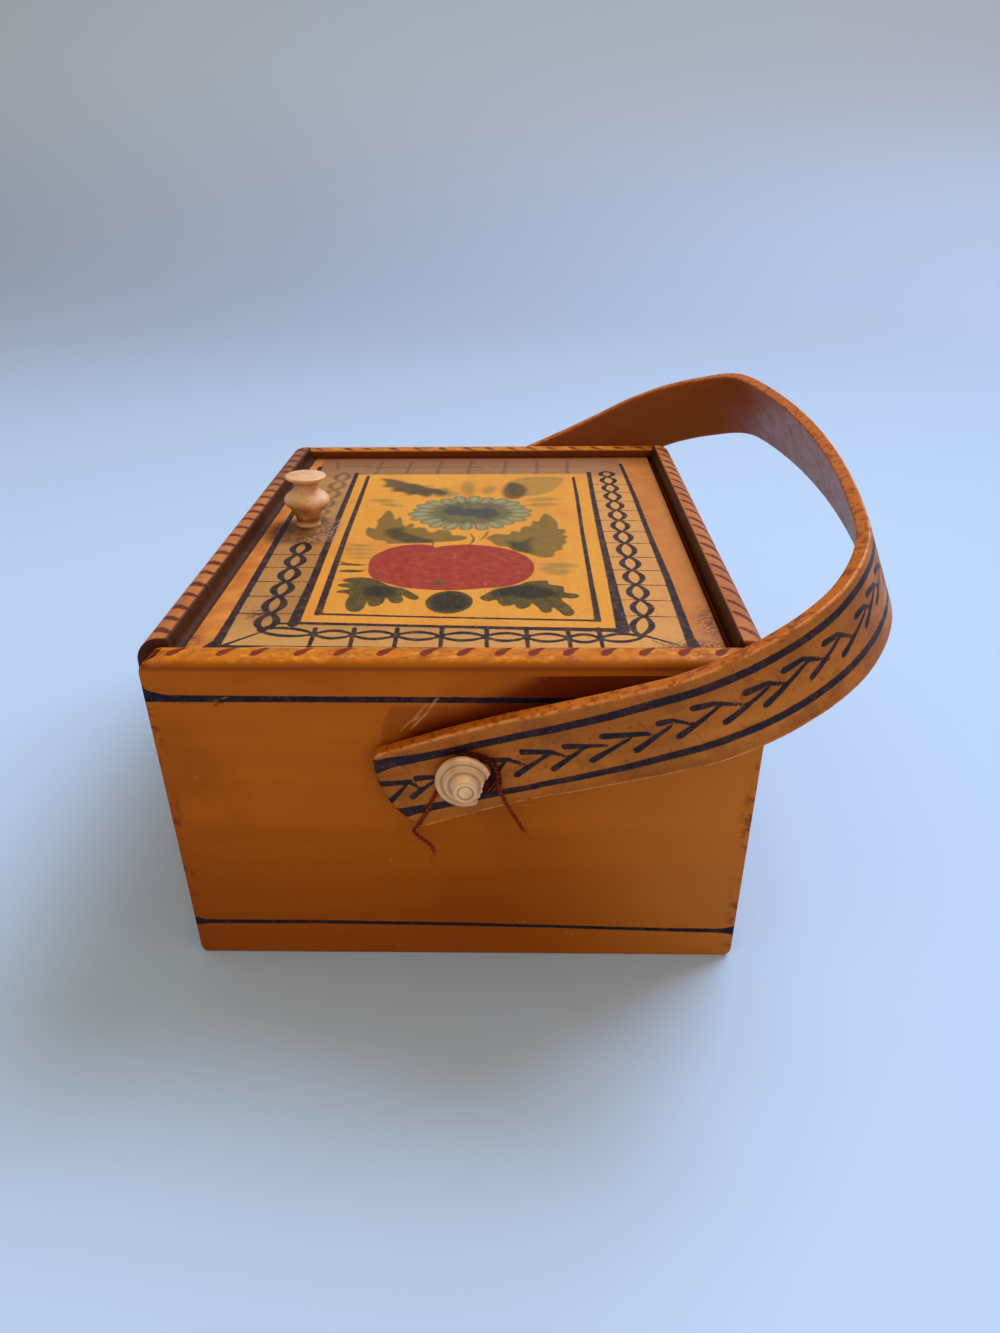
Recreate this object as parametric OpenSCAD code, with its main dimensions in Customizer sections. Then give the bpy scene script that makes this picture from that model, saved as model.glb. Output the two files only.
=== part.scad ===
// Small painted sewing box with a swing-over bentwood handle and a sliding lid.
// Millimetres. X runs left to right, Y front to back, Z up; the origin is the
// middle of the base, on the surface that the box stands on.

/* [Case] */
// Width of the case over its top edge
body_w = 114; // [100:1:130]
// Depth of the case over its top edge
body_d = 150.4; // [140:0.2:170]
// Height of the front and back boards
body_h = 68.9; // [64:0.1:76]
// How far the left and right ends lean in at the foot, each side
lean_x = 1.8; // [0.4:0.1:3]
// How far the front and back lean in at the foot, each side
lean_y = 1.2; // [0.4:0.1:2]
// Thickness of the four wall boards
board_t = 5.6; // [5:0.1:7]
// Thickness of the bottom board
bottom_t = 4.5; // [3:0.1:6]
// Radius of the rounded top corners of the front and back boards
corner_r = 3; // [2:0.1:4]
// Radius worked along the outer top edge of the front and back boards
edge_r = 1.6; // [0.8:0.1:2.4]
// Radius of the worn corners at the foot of the case
foot_r = 1.6; // [0.8:0.1:2.4]

/* [Rails] */
// How far the side rails stand above the front and back boards
rail_rise = 1.3; // [0.6:0.1:2]
// Radius of the quarter round on the right rail
right_rail_r = 4; // [3:0.1:4.5]
// Height of the right rail
right_rail_h = 5; // [4.5:0.1:6]
// Radius of the quarter round on the rail that the lid carries
lid_rail_r = 4.5; // [3:0.1:5]
// How far the lid's rail stands past the end of the front board
lid_rail_proud = 2.2; // [1.5:0.1:3]
// Width of the lid's rail across its top
lid_rail_w = 6.2; // [5.5:0.1:7]

/* [Lid] */
// Depth of the lid's top below the top of the front board
lid_drop = 2.4; // [2:0.1:3]
// Thickness of the lid panel
lid_t = 3; // [2.5:0.1:3.5]
// Depth of the grooves in the front and back boards
groove_d = 2.4; // [1.8:0.1:2.8]
// Play between the lid and its groove, on each face
lid_play = 0.2; // [0.15:0.05:0.3]
// Open gap between the lid's edge and the right wall, as it stands
lid_gap = 1.3; // [1.2:0.1:2]

/* [Knob] */
// Height of the turned knob above the lid
knob_h = 12.3; // [11:0.1:16]
// Place of the knob, left of the middle of the box
knob_x = -42; // [-44:0.5:-36]
// Place of the knob, back from the middle of the box
knob_y = 7.5; // [0:0.5:10]
// Lean of the knob towards the right
knob_lean = 1.5; // [0:0.5:4]

/* [Handle] */
// Width of the bent band
band_w = 18; // [16:0.5:20]
// Thickness of the bent band's legs
band_t = 3; // [2.6:0.1:3.4]
// How much thinner the band is round the shoulders and crown
band_thin = 0.35; // [0:0.05:0.6]
// Reach of the band's middle line from its pivot
reach = 87.6; // [84:0.2:92]
// Angle at which the legs spread
spread = 11.5; // [9:0.5:13]
// Radius of the bend beside each stud
hip_r = 60; // [50:1:70]
// Radius of the two shoulders
shoulder_r = 35; // [30:1:40]
// Radius of the shallow crown
crown_r = 329; // [250:1:400]
// Angle above level at which the handle rests, leaning right
rest_angle = 22.4; // [18:0.2:28]
// Angle by which the pivot line climbs towards the back
pivot_tilt = 2.4; // [1.5:0.1:3]

/* [Studs] */
// Radius of the stud shanks
shank_r = 2; // [1.8:0.1:2.2]
// Clearance round a shank in the band
pivot_play = 0.06; // [0.04:0.01:0.1]
// Radius of the stud flanges
flange_r = 5.2; // [4.5:0.1:5.5]

/* [Thread] */
// Diameter of the twisted thread
thread_d = 0.5; // [0.4:0.05:0.6]
// Turns of thread wound behind the front flange
thread_turns = 2.25; // [2.25:1:3.25]

/* [Hidden] */
$fn = 64;

// Half sizes of the leaning case at a height above the base
function half_x(z) = body_w / 2 - lean_x * (1 - z / body_h);
function half_y(z) = body_d / 2 - lean_y * (1 - z / body_h);

rail_top = body_h + rail_rise;
lid_top = body_h - lid_drop;
lid_low = lid_top - lid_t;
groove_top = lid_top + lid_play;
groove_low = lid_low - lid_play;
groove_y = half_y(lid_top) - board_t + groove_d;
right_wall_top = rail_top - right_rail_h;
right_wall_x = half_x(lid_top) - board_t;
left_wall_top = lid_low - 0.5;
lid_edge_y = groove_y - 0.3;
lid_right = right_wall_x - lid_gap;
lid_left = -body_w / 2 - 0.4;
lid_rail_out = -body_w / 2 - lid_rail_proud;
rail_half = half_y(lid_top) - board_t - 0.35;
arc_steps = 8;

// Pivot line of the handle: it passes over the middle of the box and meets both studs
pivot_x = 1.4;
pivot_z = 51.3;
face_v = body_d / 2 - 0.2;
band_gap = 1.3;
band_v = face_v + band_gap + band_t / 2;
// Stations along a stud, counted outwards from the board's face
band_out = band_gap + band_t;
flange_low = band_out + 2;
flange_rim = 1.2;
stud_nose = 3.6;
stud_depth = 4.2;
end_r = 17.2;
end_u = 2;
end_n = 1;
straight_u = 4;
// The holes are not quite central: the band lies this much back and low on its pivot
band_u = -0.6;
band_n = -0.4;

// Solids with leaning sides

// Block between the leaning left and right planes, drawn in by inset
module between_ends(inset, z0, z1)
    rotate([90, 0, 0]) linear_extrude(2 * body_d, center = true)
        polygon([[inset - half_x(z0), z0], [half_x(z0) - inset, z0],
                 [half_x(z1) - inset, z1], [inset - half_x(z1), z1]]);

// Block between the leaning front and back planes, drawn in by inset
module between_faces(inset, z0, z1)
    rotate([90, 0, 90]) linear_extrude(2 * body_w, center = true)
        polygon([[inset - half_y(z0), z0], [half_y(z0) - inset, z0],
                 [half_y(z1) - inset, z1], [inset - half_y(z1), z1]]);

// Section of the front board, y and z, with its outer top edge rounded
function board_section() = concat(
    [[-half_y(0), 0]],
    [for (i = [0 : arc_steps]) let (a = 180 - 90 * i / arc_steps)
        [-half_y(body_h) + edge_r + edge_r * cos(a), body_h - edge_r + edge_r * sin(a)]],
    [[-half_y(body_h) + board_t, body_h], [-half_y(0) + board_t, 0]]);

// Outline of the case seen from the front, with rounded top corners and worn foot corners
function board_front() = concat(
    [for (i = [0 : arc_steps]) let (a = 270 - 90 * i / arc_steps)
        [-half_x(0) + foot_r + foot_r * cos(a), foot_r + foot_r * sin(a)]],
    [for (i = [0 : arc_steps]) let (a = 180 - 90 * i / arc_steps)
        [-half_x(body_h) + corner_r + corner_r * cos(a), body_h - corner_r + corner_r * sin(a)]],
    [for (i = [0 : arc_steps]) let (a = 90 - 90 * i / arc_steps)
        [half_x(body_h) - corner_r + corner_r * cos(a), body_h - corner_r + corner_r * sin(a)]],
    [for (i = [0 : arc_steps]) let (a = -90 * i / arc_steps)
        [half_x(0) - foot_r + foot_r * cos(a), foot_r + foot_r * sin(a)]]);

// The case's outline as a block from front to back
module case_block()
    rotate([90, 0, 0]) linear_extrude(2 * body_d, center = true) polygon(board_front());

// Lid groove in the front board, open at the left and stopped at the right wall
module lid_groove()
    translate([-body_w, -groove_y, groove_low])
        cube([body_w + right_wall_x, groove_y, groove_top - groove_low]);

// Long board with its groove and its blind hole for the stud on the given side
module long_board(side) {
    difference() {
        mirror([0, side > 0 ? 1 : 0, 0]) difference() {
            intersection() {
                rotate([90, 0, 90]) linear_extrude(2 * body_w, center = true)
                    polygon(board_section());
                case_block();
            }
            lid_groove();
        }
        on_pivot() along_stud(side) translate([0, 0, -stud_depth])
            cylinder(r = shank_r, h = stud_depth + 3);
    }
}

module front_board() color("#b5731f") long_board(-1);
module back_board() color("#b5731f") long_board(1);

// End board, let in between the long boards, up to the height top
module end_board(side, top) intersection() {
    difference() {
        case_block();
        between_ends(board_t, -1, top + 1);
    }
    between_faces(board_t, -1, body_h);
    translate([side < 0 ? -body_w : 0, -body_d, 0]) cube([body_w, 2 * body_d, top]);
}

module left_board() color("#b5731f") end_board(-1, left_wall_top);
module right_board() color("#b5731f") end_board(1, right_wall_top);

module bottom_board() color("#a8783f") intersection() {
    between_ends(board_t, 0, bottom_t);
    between_faces(board_t, 0, bottom_t);
}

// Quarter round along the top of the right wall
module right_rail() {
    x_out = half_x(right_wall_top);
    x_in = half_x(right_wall_top) - board_t;
    section = concat(
        [[x_in, right_wall_top], [x_out, right_wall_top]],
        [for (i = [0 : arc_steps]) let (a = 90 * i / arc_steps)
            [x_out - right_rail_r + right_rail_r * cos(a),
             rail_top - right_rail_r + right_rail_r * sin(a)]],
        [[x_in + 0.4, rail_top], [x_in, rail_top - 0.4]]);
    color("#c07a3a") intersection() {
        rotate([90, 0, 0]) linear_extrude(2 * body_d, center = true) polygon(section);
        between_faces(board_t, right_wall_top - 1, rail_top + 1);
    }
}

// Thin panel that runs in the two grooves
module lid_panel() color("#dca44c") difference() {
    translate([lid_left, -lid_edge_y, lid_low])
        cube([lid_right - lid_left, 2 * lid_edge_y, lid_t]);
    translate([knob_x, knob_y, lid_low - 1]) cylinder(r = knob_pin_r, h = lid_t + 2);
}

// Rail glued on the lid's left end: quarter round outside, small cove inside
module lid_end_rail() {
    top_in = lid_rail_out + lid_rail_w;
    cove = 1.5;
    section = concat(
        [[lid_rail_out, lid_low + 0.1]],
        [for (i = [0 : arc_steps]) let (a = 180 - 90 * i / arc_steps)
            [lid_rail_out + lid_rail_r + lid_rail_r * cos(a),
             rail_top - lid_rail_r + lid_rail_r * sin(a)]],
        [[top_in - 0.3, rail_top], [top_in, rail_top - 0.3]],
        [for (i = [0 : arc_steps]) let (a = 180 + 90 * i / arc_steps)
            [top_in + cove + cove * cos(a), lid_top + cove + cove * sin(a)]],
        [[lid_left, lid_top], [lid_left, lid_low + 0.1]]);
    color("#c07a3a") rotate([90, 0, 0])
        linear_extrude(2 * rail_half, center = true) polygon(section);
}

// Turned knob: broad flat head, thin neck, round belly, and a pin through the lid
knob_pin_r = 1.8;
knob_head_r = 5;
knob_neck_r = 3;
knob_belly_r = 5.6;
knob_foot_r = 2.9;

function knob_outline() =
    let (neck_z = 0.76 * knob_h, belly_z = 0.49 * knob_h, waist_z = 0.05 * knob_h, n = 10)
    concat(
        [[0, 0], [knob_foot_r + 0.3, 0], [knob_foot_r, waist_z]],
        [for (i = [1 : n]) let (t = i / n, s = (1 - cos(180 * pow(t, 1.6))) / 2)
            [knob_foot_r + (knob_belly_r - knob_foot_r) * s, waist_z + (belly_z - waist_z) * t]],
        [for (i = [1 : n]) let (t = i / n, s = (1 - cos(180 * pow(t, 1.4))) / 2)
            [knob_belly_r + (knob_neck_r - knob_belly_r) * s, belly_z + (neck_z - belly_z) * t]],
        [for (i = [1 : n]) let (t = i / n, s = 1 - cos(90 * t))
            [knob_neck_r + (knob_head_r - knob_neck_r) * s,
             neck_z + (knob_h - 0.7 - neck_z) * sin(90 * t)]],
        [[knob_head_r, knob_h - 0.25], [knob_head_r - 0.4, knob_h], [0, knob_h + 0.15]]);

module lid_knob() color("#dcc4a0") translate([knob_x, knob_y, lid_top]) {
    intersection() {
        rotate([0, knob_lean, 0]) translate([0, 0, -0.2]) rotate_extrude() polygon(knob_outline());
        translate([-20, -20, 0]) cube([40, 40, 40]);
    }
    translate([0, 0, -lid_t]) cylinder(r = knob_pin_r, h = lid_t + 1);
}

// Frame of the handle: the pivot line lies on Y, and u points along the resting legs
module on_pivot() translate([pivot_x, 0, pivot_z]) rotate([pivot_tilt, 0, 0]) children();
module at_rest() on_pivot() rotate([0, -rest_angle, 0]) children();

// Half of the band's middle line, from a leg's end to the crown, offset outwards by off:
// a straight end, a bend outwards, a straight spread leg, the shoulder and the crown, which
// lie nearer the middle by thin
function band_half(off, thin) =
    let (bend_u = straight_u + hip_r * sin(spread),
         bend_v = band_v + hip_r * (1 - cos(spread)),
         out = [-sin(spread), cos(spread)],
         along = [cos(spread), sin(spread)],
         crown = [reach - crown_r, 0],
         a = [bend_u, bend_v] - shoulder_r * out - crown,
         run = -(a * along) + sqrt(pow(a * along, 2) - a * a + pow(crown_r - shoulder_r, 2)),
         c = [bend_u, bend_v] - shoulder_r * out + run * along,
         a0 = 90 + spread,
         a1 = atan2((c - crown)[1], (c - crown)[0]),
         n = 18)
    concat(
        [[-20, band_v + off]],
        [for (i = [0 : 6]) let (t = spread * i / 6)
            [straight_u + (hip_r - off) * sin(t), band_v + hip_r - (hip_r - off) * cos(t)]],
        [for (i = [0 : n]) let (t = a0 + (a1 - a0) * i / n)
            c + (shoulder_r + off - thin) * [cos(t), sin(t)]],
        [for (i = [1 : n]) let (t = a1 * (1 - i / n))
            crown + (crown_r + off - thin) * [cos(t), sin(t)]]);

function flipped(points) =
    [for (i = [len(points) - 2 : -1 : 0]) [points[i][0], -points[i][1]]];

module handle_band() color("#bd7c38") at_rest() difference() {
    outer = band_half(band_t / 2, band_thin);
    inner = band_half(-band_t / 2, 0);
    inner_path = concat(inner, flipped(inner));
    translate([band_u, 0, band_n - band_w / 2]) linear_extrude(band_w)
        polygon(concat(outer, flipped(outer),
            [for (i = [len(inner_path) - 1 : -1 : 0]) inner_path[i]]));
    // rounded leg ends
    translate([band_u, 0, band_n]) difference() {
        translate([end_u - 40, -body_d, -band_w]) cube([40, 2 * body_d, 2 * band_w]);
        translate([end_u, 0, end_n]) rotate([90, 0, 0])
            cylinder(r = end_r, h = 3 * body_d, center = true, $fn = 96);
    }
    // pivot holes
    rotate([90, 0, 0]) cylinder(r = shank_r + pivot_play, h = 3 * body_d, center = true);
}

// Turns the frame so that Z runs outwards along the stud from the board's face,
// X to the right and Y upwards on the front
module along_stud(side)
    translate([0, side * face_v, 0]) rotate([side > 0 ? -90 : 90, 0, 0]) children();

// Turned stud: shank, flange with two stepped rings, and a nose
stud_rim = flange_low + flange_rim;
module stud_turning() {
    rotate_extrude() polygon([
        [0, -stud_depth], [shank_r, -stud_depth], [shank_r, flange_low - 0.3],
        [2.7, flange_low], [flange_r - 0.3, flange_low], [flange_r, flange_low + 0.35],
        [flange_r, stud_rim - 0.25], [flange_r - 0.25, stud_rim],
        [3.9, stud_rim], [3.7, stud_rim + 0.5], [2.9, stud_rim + 0.55],
        [2.6, stud_rim + 0.9], [2.2, stud_rim + 1.1], [2, stud_rim + stud_nose - 1.6],
        [1.5, stud_rim + stud_nose - 1.15], [0, stud_rim + stud_nose - 1]]);
}

// The front stud has lost a piece of its flange at the lower right
module front_stud() color("#cbb089") on_pivot() along_stud(-1) difference() {
    stud_turning();
    translate([0, 0, flange_low - 0.5]) linear_extrude(stud_nose + 2)
        polygon([[7, 2.2], [4.6, 1.5], [3.5, 0.5], [3.6, -0.5], [2.8, -2.4],
                 [2.4, -3.3], [1.8, -5.6], [7, -6]]);
}

module back_stud() color("#cbb089") on_pivot() along_stud(1) stud_turning();

// Thread wound loosely behind the front flange, with a tail left on each side.
// In the stud's frame: the turns widen and drift right, and the inner end dips under them
wind_r = 2.26;
wind_step = 1.35;
wind_drift = 0.42;
wind_z = flange_low - 0.5;
under_z = band_out + 0.45;
wind_n = 18;

function wind_point(t) =
    let (a = 360 * (thread_turns - t), r = wind_r + wind_step * t)
    [wind_drift * t + r * cos(a), r * sin(a),
     wind_z - (wind_z - under_z) * pow(max(0, 1 - 2 * t), 2)];

// Smooth curve through four guide points
function bezier(p, t) =
    pow(1 - t, 3) * p[0] + 3 * pow(1 - t, 2) * t * p[1] + 3 * (1 - t) * t * t * p[2]
    + pow(t, 3) * p[3];

wind_start = wind_point(0);
wind_end = wind_point(thread_turns);
left_tail = [[-6.1, -17.4, under_z + 0.5], [-6.6, -15.2, under_z], [-10.9, -13.9, under_z],
    [-9.4, -12.3, under_z]];
left_lead = [[-9.4, -12.3, under_z], [-6.4, -9.1, under_z], [-3.6, 2.8, under_z], wind_start];
right_tail = [wind_end, wind_end + [-0.9, -3.2, 0], [5.7, -6.1, wind_z], [10.6, -11, wind_z + 0.4]];

thread_path = concat(
    [for (i = [0 : 9]) bezier(left_tail, i / 10)],
    [for (i = [0 : 7]) bezier(left_lead, i / 8)],
    [for (i = [0 : wind_n * thread_turns]) wind_point(i / wind_n)],
    [for (i = [1 : 10]) bezier(right_tail, i / 10)]);

// Tube of the given radius along a path, each ring square to the path
module tube(path, r, sides = 8) {
    last = len(path) - 1;
    points = [for (i = [0 : last])
        let (d = path[min(i + 1, last)] - path[max(i - 1, 0)], t = d / norm(d),
             c = cross(t, [0, 0, 1]), s = c / norm(c), n = cross(s, t))
        for (k = [0 : sides - 1]) let (a = 360 * k / sides)
            path[i] + r * (cos(a) * s + sin(a) * n)];
    faces = concat(
        [[for (k = [0 : sides - 1]) k]],
        [for (i = [0 : last - 1]) for (k = [0 : sides - 1]) for (half = [0, 1])
            let (a = i * sides + k, b = i * sides + (k + 1) % sides)
            half == 0 ? [a, a + sides, b + sides] : [a, b + sides, b]],
        [[for (k = [sides - 1 : -1 : 0]) last * sides + k]]);
    polyhedron(points, faces);
}

// Least gap of the thread to itself, between points at least five steps apart
thread_gap = min([for (i = [0 : len(thread_path) - 1])
    for (j = [i + 6 : 1 : len(thread_path) - 1])
        norm(thread_path[i] - thread_path[j])]) - thread_d;
echo(thread_gap = thread_gap);

module repair_thread() color("#5a1a1c") on_pivot() along_stud(-1)
    tube(thread_path, thread_d / 2);

front_board();
back_board();
left_board();
right_board();
bottom_board();
right_rail();
lid_panel();
lid_end_rail();
lid_knob();
handle_band();
front_stud();
back_stud();
repair_thread();
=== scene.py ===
"""Looks of a small painted sewing box with a sliding lid and a swing-over bentwood handle.

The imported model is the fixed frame. Every piece made here lies where its CAD node lies.
Shapes are worked out in millimetres and put into the meshes in metres.
"""

import bpy
import numpy as np
from mathutils import Matrix


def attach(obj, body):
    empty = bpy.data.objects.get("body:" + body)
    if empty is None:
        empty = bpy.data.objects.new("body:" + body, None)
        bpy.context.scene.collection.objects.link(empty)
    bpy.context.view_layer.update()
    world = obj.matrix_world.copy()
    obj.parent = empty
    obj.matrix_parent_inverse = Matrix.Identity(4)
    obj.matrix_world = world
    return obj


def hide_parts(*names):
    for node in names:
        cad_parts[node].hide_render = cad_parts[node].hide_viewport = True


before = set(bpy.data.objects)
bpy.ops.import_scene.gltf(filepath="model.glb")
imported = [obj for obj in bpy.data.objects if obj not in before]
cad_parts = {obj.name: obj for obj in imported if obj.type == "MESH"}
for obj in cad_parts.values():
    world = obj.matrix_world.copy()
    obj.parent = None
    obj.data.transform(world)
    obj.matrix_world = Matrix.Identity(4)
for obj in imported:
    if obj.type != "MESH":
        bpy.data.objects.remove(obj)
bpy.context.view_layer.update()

MM = 0.001
FAR = 9.0  # distance in mm given to points that no paint comes near

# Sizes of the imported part, in millimetres, with angles in radians
BODY_W, BODY_D, BODY_H = 114.0, 150.4, 68.9
LEAN_X, LEAN_Y = 1.8, 1.2
BOARD_T = 5.6
CORNER_R, EDGE_R, FOOT_R = 3.0, 1.6, 1.6
RAIL_TOP = 70.2
RIGHT_RAIL_R, RIGHT_RAIL_H = 4.0, 5.0
LID_RAIL_R, LID_RAIL_OUT, LID_RAIL_W = 4.5, -59.2, 6.2
LID_TOP, LID_T = 66.5, 3.0
GROOVE_D, LID_PLAY = 2.4, 0.2
LID_LEFT = -57.4
KNOB_X, KNOB_Y, KNOB_LEAN = -42.0, 7.5, 1.5
BAND_W, BAND_T, BAND_REACH = 18.0, 3.0, 87.6
BAND_THIN, BAND_BACK, BAND_DOWN = 0.35, 0.6, 0.4
BAND_V = 77.8
SPREAD = np.radians(11.5)
HIP_R, SHOULDER_R, CROWN_R = 60.0, 35.0, 329.0
STRAIGHT_U = 4.0
END_R, END_U, END_N = 17.2, 2.0, 1.0
REST_ANGLE, PIVOT_TILT = np.radians(22.4), np.radians(2.4)
PIVOT = np.array([1.4, 0.0, 51.3])
STUD_FACE = 75.0
FLANGE_LOW, FLANGE_RIM = 6.3, 1.2
BAND_OUT = 4.3


def half_x(z):
    """Half width of the leaning case at height z."""
    return BODY_W / 2 - LEAN_X * (1 - z / BODY_H)


def half_y(z):
    """Half depth of the leaning case at height z."""
    return BODY_D / 2 - LEAN_Y * (1 - z / BODY_H)


RIGHT_WALL_X = half_x(LID_TOP) - BOARD_T
LID_RIGHT = RIGHT_WALL_X - 1.3
GROOVE_Y = half_y(LID_TOP) - BOARD_T + GROOVE_D
RAIL_HALF = half_y(LID_TOP) - BOARD_T - 0.35


def put(name, data):
    """New object in the scene that carries data."""
    made = bpy.data.objects.new(name, data)
    bpy.context.scene.collection.objects.link(made)
    return made


def unit(v):
    """Vectors along the last axis, brought to length one."""
    return v / np.maximum(np.linalg.norm(v, axis=-1, keepdims=True), 1e-9)


def facing(right, up, back, at):
    """Placement of a camera or lamp that looks against back."""
    turn = np.eye(4)
    turn[:3] = np.stack([right, up, back, at], 1)
    return Matrix(turn.tolist())


def photo_camera():
    """Camera at the photograph's standpoint: yaw, pitch and roll turn a level view along Y."""
    eye = np.array([12.33, -233.4, 147.52]) * MM
    yaw, pitch, roll = np.radians([1.527, 26.753, -0.648])
    ahead = np.array([-np.sin(yaw) * np.cos(pitch), np.cos(yaw) * np.cos(pitch), -np.sin(pitch)])
    level = np.array([np.cos(yaw), np.sin(yaw), 0.0])
    above = np.cross(level, ahead)
    focal_px, height_px = 1000, 1333
    lens = bpy.data.cameras.new("camera")
    lens.sensor_width = 36
    lens.lens = 36 * focal_px / height_px
    lens.clip_start = 0.01
    camera = put("camera", lens)
    right = np.cos(roll) * level + np.sin(roll) * above
    up = np.cos(roll) * above - np.sin(roll) * level
    camera.matrix_world = facing(right, up, -ahead, eye)
    bpy.context.scene.camera = camera


photo_camera()
bpy.context.scene.view_settings.view_transform = "Standard"


def srgb(r, g, b):
    """Colour written as 0 to 255 screen values, in the linear values that shaders take."""
    c = np.array([r, g, b]) / 255
    c = np.where(c <= 0.04045, c / 12.92, ((c + 0.055) / 1.055) ** 2.4)
    return (*c.tolist(), 1.0)


class Finish:
    """A material being made. tone is its colour so far, and each method adds shader nodes."""

    def __init__(self, name, **sockets):
        self.material = bpy.data.materials.new(name)
        self.material.use_nodes = True
        self.tree = self.material.node_tree
        self.shader = self.tree.nodes["Principled BSDF"]
        self.tone = None
        for socket, value in sockets.items():
            self.shader.inputs[socket.replace("_", " ")].default_value = value

    def node(self, kind, inputs=(), **settings):
        made = self.tree.nodes.new("ShaderNode" + kind)
        for key, value in settings.items():
            setattr(made, key, value)
        for key, value in dict(inputs).items():
            self.feed(made.inputs[key], value)
        return made

    def feed(self, socket, value):
        if isinstance(value, bpy.types.NodeSocket):
            self.tree.links.new(value, socket)
        else:
            socket.default_value = value

    def place(self, source="Object"):
        """Object coordinates or the piece's own UV map, in metres."""
        return self.node("TexCoord").outputs[source]

    def axis(self, k):
        """The piece's own X, Y or Z in metres, for k of 0, 1 or 2."""
        return self.node("SeparateXYZ", {"Vector": self.place()}).outputs[k]

    def noise(self, scale, stretch=(1, 1, 1), detail=3.0, rough=0.5, bend=0.0, source="Object"):
        """Cloudy values round 0.5; scale counts features per metre, stretch is per axis."""
        at = self.node("Mapping", {"Vector": self.place(source), "Scale": stretch})
        return self.node("TexNoise", {"Vector": at.outputs[0], "Scale": scale, "Detail": detail,
                                      "Roughness": rough, "Distortion": bend}).outputs["Fac"]

    def attribute(self, name):
        return self.node("Attribute", attribute_name=name).outputs["Fac"]

    def span(self, value, low, high, to_low=0.0, to_high=1.0):
        """Value taken smoothly from the range low..high to to_low..to_high."""
        return self.node("MapRange", {"Value": value, "From Min": low, "From Max": high,
                                      "To Min": to_low, "To Max": to_high},
                         interpolation_type="SMOOTHSTEP").outputs["Result"]

    def where(self, name, low, high, most=1.0):
        """Mask from 0 to most while the piece's value called name goes from low to high."""
        return self.span(self.attribute(name), low, high, 0.0, most)

    def along(self, k, low, high, most=1.0):
        """Mask from 0 to most while the piece's X, Y or Z goes from low to high metres."""
        return self.span(self.axis(k), low, high, 0.0, most)

    def flecks(self, scale, low, high, most=1.0, detail=4.0, rough=0.7, stretch=(1, 1, 1)):
        """Mask from 0 to most where cloudy noise goes from low to high."""
        return self.span(self.noise(scale, stretch, detail, rough), low, high, 0.0, most)

    def math(self, operation, a, b):
        made = self.node("Math", operation=operation)
        self.feed(made.inputs[0], a)
        self.feed(made.inputs[1], b)
        return made.outputs[0]

    def times(self, first, *others):
        for other in others:
            first = self.math("MULTIPLY", first, other)
        return first

    def mix(self, amount, a, b):
        """From colour a to colour b; a colour is a node's output or a screen colour."""
        made = self.node("Mix", data_type="RGBA")
        self.feed(made.inputs[0], amount)
        for socket, colour in ((made.inputs[6], a), (made.inputs[7], b)):
            self.feed(socket, srgb(*colour) if isinstance(colour, tuple) else colour)
        return made.outputs[2]

    def lay(self, colour, *masks):
        """Colour laid over the tone so far, as strongly as the product of the masks."""
        self.tone = self.mix(self.times(*masks), self.tone, colour)

    def wood(self, light, deep, stain, grain, source="Object"):
        """Varnished wood: fine grain drawn out along one axis, broad clouds, small specks."""
        fibre = self.noise(900, grain, 5.0, 0.6, source=source)
        figure = self.noise(120, grain, 3.0, 0.5, 0.6, source=source)
        cloud = self.noise(45, source=source)
        speck = self.noise(1400, detail=2.0, source=source)
        self.tone = self.mix(self.span(figure, 0.3, 0.7), light, deep)
        self.lay(deep, self.span(fibre, 0.45, 0.75, 0.0, 0.5))
        self.lay(stain, self.span(cloud, 0.45, 0.75, 0.0, 0.55))
        self.lay(stain, self.span(speck, 0.66, 0.74, 0.0, 0.6))
        return fibre

    def paint(self, layers, ragged=0.25, wear=(0.62, 0.7)):
        """Paint laid over the tone. Each layer is an attribute with the signed distance in
        millimetres, a colour, how well it covers and how softly it ends. The edges are a
        little ragged, and small flecks are rubbed off."""
        edge = self.math("MULTIPLY", self.math("SUBTRACT", self.noise(1500), 0.5), ragged)
        fleck = self.span(self.noise(2200, detail=4.0, rough=0.7), *wear, 1.0, 0.0)
        thin = self.noise(500, detail=2.0)
        total = None
        for name, colour, cover, soft in layers:
            mask = self.span(self.math("ADD", self.attribute(name), edge), soft, -soft)
            mask = self.times(mask, fleck, self.span(thin, 0.2, 0.6, cover - 0.12, cover))
            self.lay(colour, mask)
            total = mask if total is None else self.math("MAXIMUM", total, mask)
        return total

    def bump(self, height, depth, below=None):
        """Relief: depth is the real height in millimetres of a full step in the value."""
        made = self.node("Bump", {"Height": height, "Distance": depth * MM, "Strength": 1.0})
        if below is not None:
            self.feed(made.inputs["Normal"], below)
        return made.outputs[0]

    def out(self, roughness=None, normal=None):
        for socket, value in (("Base Color", self.tone), ("Roughness", roughness),
                              ("Normal", normal)):
            if value is not None:
                self.feed(self.shader.inputs[socket], value)
        return self.material

    def varnished(self, fibre, paint=None, low=0.4, high=0.54, grain=0.03, scale=300):
        """Ends a varnished finish: gloss in soft patches, and relief of grain and paint."""
        rough = self.span(self.noise(scale), 0.3, 0.7, low, high)
        below = None if paint is None else self.bump(paint, 0.03)
        return self.out(rough, self.bump(fibre, grain, below))


# Lamps: place and size in metres, power in watts, colour
LAMPS = {"window": ((1.0, 1.0, 1.6), 1.3, 44.0, (0.82, 0.97, 1.2)),
         "fill": ((0.4, -1.4, 0.42), 0.75, 3.2, (1.0, 0.92, 0.8))}
LAMP_AIM = (0.0, 0.0, 0.03)


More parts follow.
